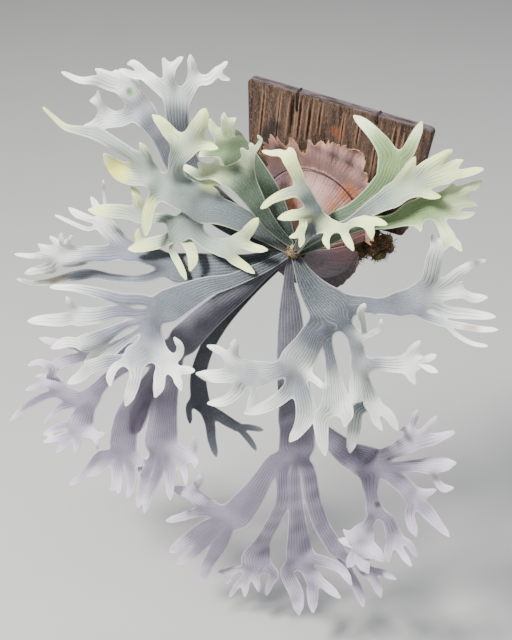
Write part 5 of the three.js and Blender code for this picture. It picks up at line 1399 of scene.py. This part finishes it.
build_frond("left_low_frond", silver_felt, "silver_frond", "frond_left_low", 63, [
    [-3, 128, -1, 9], [-28, 138, -22, 14], [-47, 150, -34, 16], [-69, 164, -46, 18],
    [-95, 178, -56, 26], [-121, 192, -73, 37], [-143, 202, -90, 45]], [
  arm([[-180, 209, -89, 15], [-210, 214, -96, 16], [-242, 220, -94, 14], [-278, 226, -95, 10],
    [-319, 232, -104, 6]]),
  arm([[-186, 212, -112, 12], [-214, 220, -115, 16], [-246, 228, -129, 22], [-270, 234, -136, 25]], [
    arm([[-280, 238, -118, 10], [-283, 242, -102, 7]]),
    arm([[-302, 240, -150, 18], [-328, 248, -155, 14], [-349, 254, -161, 7]]),
  ]),
  arm([[-184, 217, -123, 8], [-201, 222, -131, 10], [-217, 229, -143, 14], [-237, 236, -159, 22],
    [-257, 243, -171, 25]], [
    arm([[-289, 248, -179, 14], [-311, 254, -194, 11]]),
  ]),
  arm([[-177, 216, -131, 7], [-191, 219, -145, 8], [-206, 223, -161, 12], [-226, 228, -182, 18],
    [-249, 231, -203, 23], [-270, 233, -218, 13]]),
  arm([[-162, 214, -130, 23], [-160, 223, -149, 34]], [
    arm([[-179, 234, -170, 35]], [
      arm([[-224, 246, -189, 18], [-246, 254, -203, 18], [-261, 260, -222, 15], [-279, 266, -237, 10]]),
      arm([[-207, 252, -192, 11], [-208, 258, -199, 11], [-205, 264, -211, 8]]),
      arm([[-171, 248, -187, 16], [-173, 256, -207, 16], [-180, 264, -235, 12]]),
    ]),
    arm([[-137, 229, -158, 24]], [
      arm([[-135, 242, -179, 16], [-132, 250, -190, 15], [-134, 257, -204, 11]]),
      arm([[-117, 236, -164, 16]], [
        arm([[-105, 243, -173, 11], [-97, 248, -183, 9]]),
        arm([[-95, 240, -153, 11], [-78, 244, -144, 8]]),
      ]),
      arm([[-113, 230, -144, 11], [-108, 230, -124, 9], [-115, 232, -112, 7]]),
    ]),
  ]),
])
build_frond("centre_frond", silver_felt, "silver_frond", "frond_centre", 64, [
    [5, 126, -2, 10], [13, 129, -13, 15], [26, 134, -27, 25], [49, 142, -42, 41], [72, 150, -49, 55]], [
  arm([[54, 162, -80, 26], [49, 170, -103, 36], [39, 176, -126, 44]], [
    arm([[18, 190, -142, 23], [-2, 198, -151, 28]], [
      arm([[-10, 210, -191, 9], [-14, 214, -208, 7]]),
      arm([[-19, 204, -152, 33]], [
        arm([[-40, 208, -139, 20]], [
          arm([[-37, 210, -116, 12], [-34, 212, -97, 9]]),
          arm([[-59, 212, -124, 10], [-73, 216, -120, 8]]),
        ]),
        arm([[-49, 212, -164, 19], [-70, 218, -169, 16], [-88, 222, -170, 11]]),
        arm([[-31, 211, -184, 15], [-49, 218, -205, 13], [-72, 222, -216, 8]]),
      ]),
    ]),
    arm([[32, 193, -173, 18], [18, 202, -190, 17], [-2, 208, -207, 13], [-19, 214, -216, 7]]),
    arm([[55, 192, -162, 21], [66, 200, -186, 26], [62, 208, -210, 17], [51, 214, -234, 9]]),
    arm([[78, 190, -138, 8], [90, 196, -138, 5]]),
  ]),
  arm([[73, 158, -100, 12], [81, 164, -120, 15], [93, 176, -144, 23], [101, 186, -160, 35]], [
    arm([[88, 198, -188, 21], [93, 206, -207, 17], [102, 212, -236, 11]]),
    arm([[118, 190, -166, 18], [121, 196, -188, 12]]),
  ]),
  arm([[99, 151, -71, 15]], [
    arm([[113, 156, -93, 18], [120, 160, -110, 22]], [
      arm([[118, 167, -139, 14], [122, 174, -153, 13], [120, 178, -163, 6]]),
      arm([[130, 160, -141, 15], [141, 160, -166, 22]], [
        arm([[163, 158, -178, 13], [179, 158, -199, 8]]),
        arm([[149, 166, -185, 10], [161, 168, -199, 8]]),
        arm([[124, 164, -184, 16], [122, 168, -218, 17], [120, 172, -256, 9]]),
      ]),
      arm([[148, 164, -95, 17], [168, 168, -85, 19], [187, 172, -73, 22]], [
        arm([[192, 172, -52, 12], [200, 172, -32, 7]]),
        arm([[204, 176, -60, 16]], [
          arm([[216, 178, -47, 8], [225, 180, -38, 6]]),
          arm([[218, 178, -63, 8], [229, 180, -62, 6]]),
        ]),
        arm([[195, 176, -86, 10], [202, 178, -94, 7]]),
      ]),
    ]),
    arm([[117, 151, -72, 10]], [
      arm([[117, 154, -49, 7], [116, 161, -29, 9], [124, 168, -8, 7]]),
      arm([[131, 152, -61, 7], [141, 156, -48, 6], [145, 162, -28, 5]]),
    ]),
  ]),
  arm([[103, 148, -29, 21], [134, 144, -23, 21], [159, 138, -14, 27]], [
    arm([[180, 133, 1, 34]], [
      arm([[190, 133, 33, 18], [191, 132, 56, 19], [194, 132, 79, 16]], [
        arm([[188, 133, 86, 5], [187, 134, 94, 3]]),
        arm([[203, 132, 93, 6], [208, 132, 103, 5]]),
      ]),
      arm([[210, 126, 31, 13], [223, 122, 49, 11], [236, 118, 61, 7], [248, 114, 67, 3]]),
      arm([[211, 124, 11, 13], [222, 122, 17, 14]], [
        arm([[225, 120, 28, 5], [226, 120, 32, 4]]),
        arm([[240, 116, 11, 11], [255, 112, 15, 7]]),
      ]),
      arm([[210, 127, -13, 13], [240, 121, -10, 12], [269, 115, -7, 7]]),
    ]),
    arm([[189, 138, -21, 10], [213, 139, -20, 11]], [
      arm([[237, 137, -18, 8], [259, 136, -15, 7], [280, 134, -9, 5]]),
      arm([[235, 143, -29, 5], [257, 146, -31, 5], [275, 148, -26, 4]]),
    ]),
  ]),
])

# ---------------------------------------------------------------------------- bright antler fronds
# The youngest fronds, that catch the most light: cream and yellow-green lobes on grey-green stalks.
bright_felt = frond_finish(
    "bright_felt", (0.03, 0.04, 0.037), (0.105, 0.128, 0.138), (0.31, 0.37, 0.32), (0.87, 0.97, 0.42),
    (0.19, 0.22, 0.225), (0.11, 0.155, 0.13), 230.0, tip_run=64.0, depth=0.6,
    # the two strong yellow patches: partly the lobes' own yellow, partly a painted glow of backlight
    # shining through them
    spots=[((0.86, 0.82, 0.13), (-221, -187, 9), 24.0, 0.8),
           ((0.86, 0.85, 0.22), (-180, -187, -28), 20.0, 0.5)])
build_frond("bright_frond", bright_felt, "bright_frond", "frond_bright", 65, [
    [-5, 126, 2, 10], [-28, 132, 17, 18], [-58, 142, 36, 28], [-88, 150, 46, 33], [-110, 157, 50, 38]], [
  arm([[-129, 164, 64, 38]], [
    arm([[-108, 156, 84, 7]], [
      arm([[-96, 157, 91, 5], [-84, 158, 92, 4]]),
      arm([[-98, 156, 80, 5], [-91, 156, 79, 4]]),
    ]),
    arm([[-144, 170, 71, 39]], [
      arm([[-140, 175, 101, 17], [-131, 180, 126, 21], [-118, 184, 145, 26]], [
        arm([[-136, 186, 161, 16], [-147, 188, 174, 12], [-157, 190, 182, 6]]),
        arm([[-101, 188, 172, 21], [-87, 192, 195, 16], [-79, 196, 213, 9]]),
        arm([[-92, 180, 155, 12], [-75, 178, 154, 7]]),
      ]),
      arm([[-164, 174, 76, 25], [-175, 177, 86, 25]], [
        arm([[-173, 184, 112, 10], [-174, 187, 126, 10], [-180, 190, 139, 6]]),
        arm([[-190, 180, 105, 15], [-206, 184, 117, 14], [-223, 188, 126, 15], [-245, 192, 135, 17],
          [-266, 196, 135, 11], [-284, 200, 136, 8], [-300, 205, 150, 5], [-309, 210, 162, 4]]),
        arm([[-201, 178, 79, 24], [-219, 182, 83, 23], [-229, 187, 95, 14], [-234, 192, 108, 8]]),
      ]),
      arm([[-170, 178, 56, 15], [-174, 185, 45, 15], [-176, 191, 25, 13], [-176, 195, 8, 10]]),
    ]),
  ]),
  arm([[-131, 160, 23, 28]], [
    arm([[-105, 158, -2, 19], [-84, 158, -2, 22]], [
      arm([[-61, 157, 15, 18]], [
        arm([[-44, 158, 38, 14], [-30, 160, 60, 7]]),
        arm([[-42, 154, 10, 11], [-21, 152, 12, 6]]),
      ]),
      arm([[-68, 156, -16, 13], [-53, 156, -21, 10], [-38, 156, -27, 8]]),
    ]),
    arm([[-145, 163, 7, 31]], [
      arm([[-160, 167, 22, 12], [-181, 173, 20, 13], [-196, 178, 22, 19]], [
        arm([[-198, 178, 40, 13], [-201, 177, 52, 10], [-208, 176, 61, 6]]),
        arm([[-218, 183, 23, 18], [-243, 189, 20, 17], [-266, 195, 17, 9]]),
      ]),
      arm([[-160, 169, -8, 16], [-181, 177, -18, 17], [-192, 182, -22, 16]], [
        arm([[-198, 183, -10, 9], [-198, 182, 2, 7]]),
        arm([[-203, 185, -28, 11], [-212, 187, -31, 8]]),
      ]),
      arm([[-155, 167, -28, 9], [-141, 175, -38, 9], [-126, 182, -52, 7]]),
      arm([[-126, 168, -13, 14], [-119, 174, -21, 13], [-120, 180, -37, 9]]),
    ]),
  ]),
])
build_frond("front_frond", bright_felt, "bright_frond", "frond_front", 66, [
    [9, 131, 10, 10], [32, 145, 51, 15], [58, 160, 82, 19]], [
  arm([[49, 163, 99, 14]], [
    arm([[38, 170, 94, 12]], [
      arm([[25, 175, 91, 12], [10, 181, 85, 5]]),
      arm([[40, 174, 81, 9], [38, 176, 74, 9]], [
        arm([[33, 178, 67, 6], [25, 179, 62, 5]]),
        arm([[41, 178, 64, 7], [39, 179, 53, 5]]),
      ]),
    ]),
    arm([[36, 168, 123, 17]], [
      arm([[14, 172, 115, 12], [0, 176, 106, 9], [-14, 180, 91, 6]]),
      arm([[27, 168, 143, 14], [17, 168, 160, 16]], [
        arm([[4, 168, 165, 8], [-7, 168, 162, 6], [-20, 168, 161, 3]]),
        arm([[16, 164, 169, 9], [12, 162, 171, 5]]),
      ]),
    ]),
  ]),
  arm([[74, 165, 86, 14]], [
    arm([[71, 175, 71, 8], [77, 179, 64, 8]]),
    arm([[88, 168, 89, 10]], [
      arm([[97, 174, 82, 9], [109, 180, 73, 7]]),
      arm([[103, 169, 103, 9], [116, 170, 109, 13]], [
        arm([[125, 172, 101, 9], [129, 175, 92, 5]]),
        arm([[130, 170, 114, 9], [144, 170, 114, 5]]),
      ]),
    ]),
  ]),
])
build_frond("right_far_frond", bright_felt, "bright_frond", "frond_right_far", 67, [
    [7, 127, 7, 9], [56, 144, 60, 11], [94, 156, 93, 13], [118, 156, 120, 18], [141, 154, 142, 25]], [
  arm([[150, 153, 169, 9], [157, 152, 182, 9], [163, 151, 197, 5]]),
  arm([[160, 150, 157, 22]], [
    arm([[173, 148, 184, 13], [186, 147, 197, 12], [202, 146, 214, 7]]),
    arm([[182, 147, 171, 16], [197, 144, 180, 19]], [
      arm([[202, 142, 192, 9], [213, 140, 202, 6]]),
      arm([[214, 140, 185, 9], [225, 137, 190, 8], [235, 134, 194, 5]]),
    ]),
    arm([[176, 148, 152, 8], [183, 149, 153, 8], [196, 149, 155, 4]]),
  ]),
])

# ---------------------------------------------------------------------------- green antler fronds
# Fronds whose felt is thin, so that the green of the blade and its veins show through.
green_felt = frond_finish(
    "green_felt", (0.02, 0.032, 0.027), (0.068, 0.105, 0.066), (0.19, 0.28, 0.115), (0.8, 0.92, 0.55),
    (0.15, 0.19, 0.155), (0.05, 0.1, 0.045), 230.0, tip_run=52.0)
build_frond("veined_frond", green_felt, "green_frond", "frond_veined", 68, [
    [-1, 123, 12, 10], [-12, 126, 36, 21], [-36, 129, 71, 40], [-61, 131, 102, 44], [-76, 132, 124, 40]], [
  arm([[-113, 131, 116, 15], [-136, 127, 107, 11], [-155, 124, 102, 8]]),
  arm([[-84, 134, 143, 30]], [
    arm([[-85, 137, 160, 16]], [
      arm([[-89, 139, 172, 7], [-88, 140, 181, 5]]),
      arm([[-79, 138, 172, 6], [-73, 138, 177, 5]]),
    ]),
    arm([[-104, 136, 149, 11], [-110, 138, 165, 7]]),
  ]),
])
build_frond("curled_frond", green_felt, "green_frond", "frond_curled", 69, [
    [-2, 128, 15, 9], [-16, 139, 36, 14], [-32, 147, 62, 20], [-44, 151, 84, 26], [-54, 152, 98, 32],
    [-60, 152, 105, 37]], [
  arm([[-77, 157, 105, 21]], [
    arm([[-88, 161, 121, 6], [-84, 165, 132, 5]]),
    arm([[-99, 156, 104, 18]], [
      arm([[-109, 158, 110, 9], [-114, 162, 116, 5]]),
      arm([[-115, 156, 93, 10], [-129, 158, 99, 9], [-142, 158, 102, 6]]),
    ]),
  ]),
  arm([[-48, 158, 125, 14], [-42, 158, 142, 11]], [
    arm([[-47, 162, 149, 6], [-48, 168, 158, 5]]),
    arm([[-39, 159, 157, 5], [-38, 165, 166, 5]]),
    arm([[-32, 157, 159, 5], [-26, 160, 172, 3], [-28, 165, 179, 3]]),
  ]),
])
build_frond("right_up_frond", green_felt, "green_frond", "frond_right_up", 70, [
    [6, 123, 5, 9], [38, 130, 52, 12], [64, 136, 79, 14], [86, 134, 95, 19], [104, 130, 112, 26],
    [115, 124, 129, 28], [119, 118, 144, 25], [120, 114, 152, 30]], [
  arm([[110, 108, 169, 20], [92, 102, 182, 15], [77, 98, 189, 12], [62, 96, 195, 7]]),
  arm([[135, 104, 172, 15], [139, 98, 187, 12], [144, 92, 207, 8]]),
])
build_frond("right_low_frond", green_felt, "green_frond", "frond_right_low", 71, [
    [4, 119, -4, 9], [58, 132, 43, 11], [101, 142, 85, 15], [139, 144, 102, 16], [162, 142, 119, 23]], [
  arm([[173, 145, 107, 7], [177, 148, 103, 5]]),
  arm([[181, 140, 134, 27]], [
    arm([[201, 138, 153, 14]], [
      arm([[205, 140, 166, 4], [208, 142, 173, 3]]),
      arm([[215, 136, 161, 13], [224, 132, 167, 10], [234, 130, 177, 7]]),
    ]),
    arm([[207, 134, 137, 9], [219, 130, 144, 9], [231, 126, 142, 6]]),
    arm([[202, 134, 126, 8], [217, 130, 126, 7], [229, 126, 131, 6]]),
    arm([[199, 144, 118, 11], [209, 148, 107, 15]], [
      arm([[209, 150, 96, 8], [208, 152, 90, 6]]),
      arm([[222, 150, 102, 8], [229, 152, 96, 6]]),
    ]),
  ]),
])

# ---------------------------------------------------------------------------- pink antler fronds
# Older hanging fronds, whose felt has weathered to a dusty lavender pink.
lichen = (0.03, 0.055, 0.012)
pink_felt = frond_finish(
    "pink_felt", (0.072, 0.074, 0.09), (0.145, 0.139, 0.18), (0.24, 0.212, 0.285), (0.76, 0.68, 0.82),
    (0.26, 0.26, 0.3), (0.095, 0.082, 0.13), 420.0, tip_run=80.0, depth=0.75,
    spots=[(lichen, (166, -141, -347), 7.0, 0.85), (lichen, (160, -153, -432), 7.0, 0.85)])
build_frond("pink_frond", pink_felt, "pink_frond", "frond_pink", 72, [
    [-5, 120, -6, 9], [-18, 124, -21, 12], [-33, 129, -37, 14], [-62, 138, -70, 24],
    [-93, 148, -105, 32], [-123, 158, -142, 39], [-145, 166, -174, 43]], [
  arm([[-202, 170, -200, 11], [-253, 180, -227, 13], [-293, 188, -245, 15]], [
    arm([[-323, 195, -237, 12], [-352, 201, -239, 12], [-378, 206, -237, 7]]),
    arm([[-325, 192, -264, 15], [-357, 193, -286, 17], [-382, 193, -309, 12]]),
  ]),
  arm([[-201, 174, -223, 22], [-247, 182, -257, 18], [-278, 190, -292, 19], [-302, 198, -329, 26]], [
    arm([[-345, 203, -336, 20]], [
      arm([[-369, 208, -316, 23]], [
        arm([[-359, 210, -284, 12], [-378, 214, -278, 9], [-399, 218, -290, 6]]),
        arm([[-379, 213, -307, 6], [-390, 217, -311, 5]]),
        arm([[-390, 214, -331, 9], [-411, 220, -344, 6]]),
      ]),
      arm([[-372, 212, -343, 12], [-392, 216, -358, 12], [-420, 222, -384, 9], [-447, 230, -419, 6]]),
    ]),
    arm([[-362, 210, -372, 12], [-375, 214, -392, 9], [-386, 218, -406, 6]]),
    arm([[-311, 206, -360, 31], [-318, 210, -381, 40]], [
      arm([[-351, 213, -398, 11], [-391, 215, -433, 10]]),
      arm([[-349, 221, -414, 9], [-381, 230, -433, 8]]),
      arm([[-343, 220, -423, 11], [-360, 226, -448, 10]]),
      arm([[-320, 218, -409, 11], [-324, 224, -434, 8]]),
      arm([[-295, 212, -389, 15]], [
        arm([[-285, 216, -394, 8], [-281, 220, -408, 6]]),
        arm([[-279, 212, -384, 9], [-269, 214, -375, 8]]),
      ]),
    ]),
  ]),
  arm([[-193, 178, -247, 17], [-211, 186, -285, 25], [-231, 196, -326, 33], [-238, 204, -364, 39],
    [-238, 209, -385, 41]], [
    arm([[-281, 216, -426, 14], [-306, 224, -468, 13], [-337, 232, -506, 8]]),
    arm([[-268, 218, -431, 16], [-285, 224, -455, 13], [-296, 228, -468, 8]]),
    arm([[-247, 218, -434, 19], [-244, 226, -456, 16]], [
      arm([[-250, 230, -469, 8], [-254, 233, -473, 6]]),
      arm([[-238, 230, -465, 8], [-238, 234, -472, 6]]),
    ]),
    arm([[-223, 216, -419, 15], [-217, 222, -441, 14], [-222, 230, -476, 8]]),
    arm([[-211, 206, -411, 17]], [
      arm([[-208, 207, -428, 11], [-203, 208, -442, 8]]),
      arm([[-193, 204, -401, 9], [-182, 203, -397, 6]]),
    ]),
  ]),
  arm([[-192, 158, -267, 9], [-214, 166, -310, 19], [-229, 170, -353, 24], [-235, 173, -385, 20]]),
  arm([[-157, 175, -226, 19], [-167, 184, -263, 32], [-170, 194, -306, 41], [-170, 204, -348, 50]], [
    arm([[-191, 216, -411, 15], [-197, 224, -447, 14], [-204, 230, -487, 9]]),
    arm([[-171, 216, -409, 15], [-183, 224, -448, 12], [-191, 232, -490, 9]]),
    arm([[-149, 212, -393, 18], [-147, 220, -417, 13], [-144, 226, -441, 9]]),
    arm([[-130, 210, -373, 15], [-121, 216, -386, 9], [-116, 222, -399, 7]]),
    arm([[-120, 208, -351, 20]], [
      arm([[-107, 210, -328, 9], [-105, 212, -306, 6]]),
      arm([[-105, 212, -354, 10], [-104, 215, -363, 7]]),
    ]),
  ]),
])
build_frond("hanging_frond", pink_felt, "pink_frond", "frond_hanging", 73, [
    [-1, 123, -6, 9], [-2, 126, -28, 12], [-2, 128, -48, 14], [3, 133, -78, 26], [12, 144, -126, 37],
    [20, 152, -178, 42], [28, 158, -224, 44], [31, 160, -245, 45]], [
  arm([[34, 162, -269, 47], [35, 163, -292, 50]], [
    arm([[3, 170, -336, 23], [-13, 176, -376, 29], [-31, 184, -421, 39], [-47, 190, -454, 47]], [
      arm([[-109, 198, -450, 23], [-120, 200, -441, 21]], [
        arm([[-107, 204, -408, 12], [-97, 208, -380, 9]]),
        arm([[-136, 206, -437, 14], [-150, 212, -432, 9]]),
      ]),
      arm([[-109, 200, -474, 15], [-139, 206, -497, 12], [-164, 212, -514, 9]]),
      arm([[-100, 200, -502, 19], [-130, 206, -545, 22], [-162, 212, -587, 11]]),
      arm([[-96, 200, -527, 19], [-119, 206, -568, 16], [-150, 212, -609, 10]]),
      arm([[-79, 198, -543, 23], [-93, 204, -578, 19], [-106, 210, -637, 11]]),
    ]),
    arm([[16, 167, -348, 17], [19, 170, -407, 21], [2, 172, -469, 21], [-14, 174, -522, 25],
      [-23, 176, -561, 47]], [
      arm([[-68, 182, -611, 13]], [
        arm([[-82, 184, -615, 8], [-88, 186, -616, 6]]),
        arm([[-71, 184, -630, 10], [-72, 185, -638, 6]]),
      ]),
      arm([[-57, 183, -640, 8], [-67, 185, -668, 7]]),
      arm([[-37, 182, -611, 11], [-38, 187, -646, 11]]),
      arm([[-21, 180, -599, 11], [-12, 186, -621, 8]]),
      arm([[7, 173, -574, 14], [0, 172, -609, 11], [-8, 171, -642, 6]]),
    ]),
    arm([[33, 161, -358, 14], [37, 164, -403, 20], [44, 167, -461, 30], [49, 168, -514, 42]], [
      arm([[31, 172, -567, 22], [49, 178, -591, 22], [59, 184, -632, 13]]),
      arm([[74, 172, -545, 23]], [
        arm([[78, 178, -567, 17], [83, 184, -611, 12]]),
        arm([[90, 172, -550, 14], [123, 176, -560, 11]]),
      ]),
      arm([[97, 171, -500, 16], [122, 175, -496, 13], [141, 180, -512, 9]]),
    ]),
    arm([[51, 156, -341, 19], [62, 158, -395, 23], [82, 158, -448, 24], [103, 158, -476, 24]], [
      arm([[129, 158, -522, 15], [144, 160, -545, 14], [156, 162, -574, 9]]),
      arm([[152, 154, -501, 18]], [
        arm([[169, 156, -516, 13], [181, 158, -540, 9]]),
        arm([[177, 150, -496, 10], [198, 149, -498, 7]]),
      ]),
    ]),
  ]),
  arm([[65, 154, -253, 16], [87, 152, -271, 28], [114, 150, -286, 37], [135, 148, -289, 45]], [
    arm([[169, 147, -255, 19], [190, 143, -232, 25]], [
      arm([[192, 142, -210, 12]], [
        arm([[183, 143, -208, 7], [178, 144, -211, 5]]),
        arm([[194, 142, -187, 9], [197, 143, -169, 6]]),
      ]),
      arm([[211, 138, -198, 9], [222, 138, -172, 8]]),
      arm([[217, 136, -217, 16], [233, 134, -204, 10], [247, 133, -191, 8]]),
    ]),
    arm([[184, 139, -280, 15], [199, 136, -274, 16], [220, 132, -267, 21]], [
      arm([[235, 128, -261, 19], [252, 126, -251, 12]]),
      arm([[230, 128, -293, 8], [242, 126, -304, 11], [254, 124, -299, 8]]),
    ]),
    arm([[175, 142, -305, 21], [190, 140, -314, 23], [205, 138, -328, 25]], [
      arm([[218, 134, -321, 11], [233, 132, -307, 7]]),
      arm([[228, 138, -348, 18], [248, 140, -363, 12], [264, 142, -373, 7]]),
      arm([[204, 142, -361, 13], [211, 146, -378, 13], [220, 150, -390, 8]]),
    ]),
    arm([[144, 149, -323, 24], [148, 152, -342, 18], [156, 156, -362, 21]], [
      arm([[152, 162, -394, 17], [146, 166, -417, 29]], [
        arm([[128, 168, -425, 9], [118, 169, -417, 6]]),
        arm([[147, 169, -437, 34]], [
          arm([[127, 171, -436, 12], [113, 172, -438, 6]]),
          arm([[138, 174, -463, 17], [132, 177, -481, 7]]),
          arm([[152, 174, -457, 20], [165, 178, -474, 9]]),
          arm([[168, 170, -434, 19], [186, 172, -443, 7]]),
        ]),
      ]),
      arm([[178, 156, -374, 17], [190, 158, -397, 22]], [
        arm([[186, 161, -426, 11], [187, 162, -451, 9]]),
        arm([[205, 163, -417, 10], [225, 170, -430, 8]]),
        arm([[211, 154, -406, 10], [225, 151, -430, 6]]),
      ]),
    ]),
  ]),
])

# ---------------------------------------------------------------------------- shaded antler frond
# The lowest frond at the left hangs behind the rest; the very dark tones of its felt are painted shade.
shade_felt = frond_finish(
    "shade_felt", (0.014, 0.017, 0.021), (0.03, 0.036, 0.045), (0.06, 0.068, 0.085), (0.14, 0.155, 0.18),
    (0.07, 0.077, 0.09), (0.09, 0.098, 0.11), 300.0)
build_frond("dark_frond", shade_felt, "shade_frond", "frond_dark", 74, [
    [-7, 118, -10, 9], [-20, 119, -29, 10], [-44, 120, -60, 13], [-77, 126, -107, 16],
    [-106, 134, -156, 18], [-128, 140, -208, 20], [-139, 144, -259, 23], [-136, 147, -298, 27]], [
  arm([[-153, 148, -315, 10], [-152, 152, -348, 6]]),
  arm([[-120, 148, -330, 15], [-115, 150, -367, 12], [-107, 152, -395, 8]]),
  arm([[-97, 148, -315, 16], [-72, 150, -318, 13]], [
    arm([[-52, 150, -332, 9], [-37, 152, -348, 6]]),
    arm([[-49, 150, -310, 9], [-26, 152, -302, 6]]),
  ]),
])
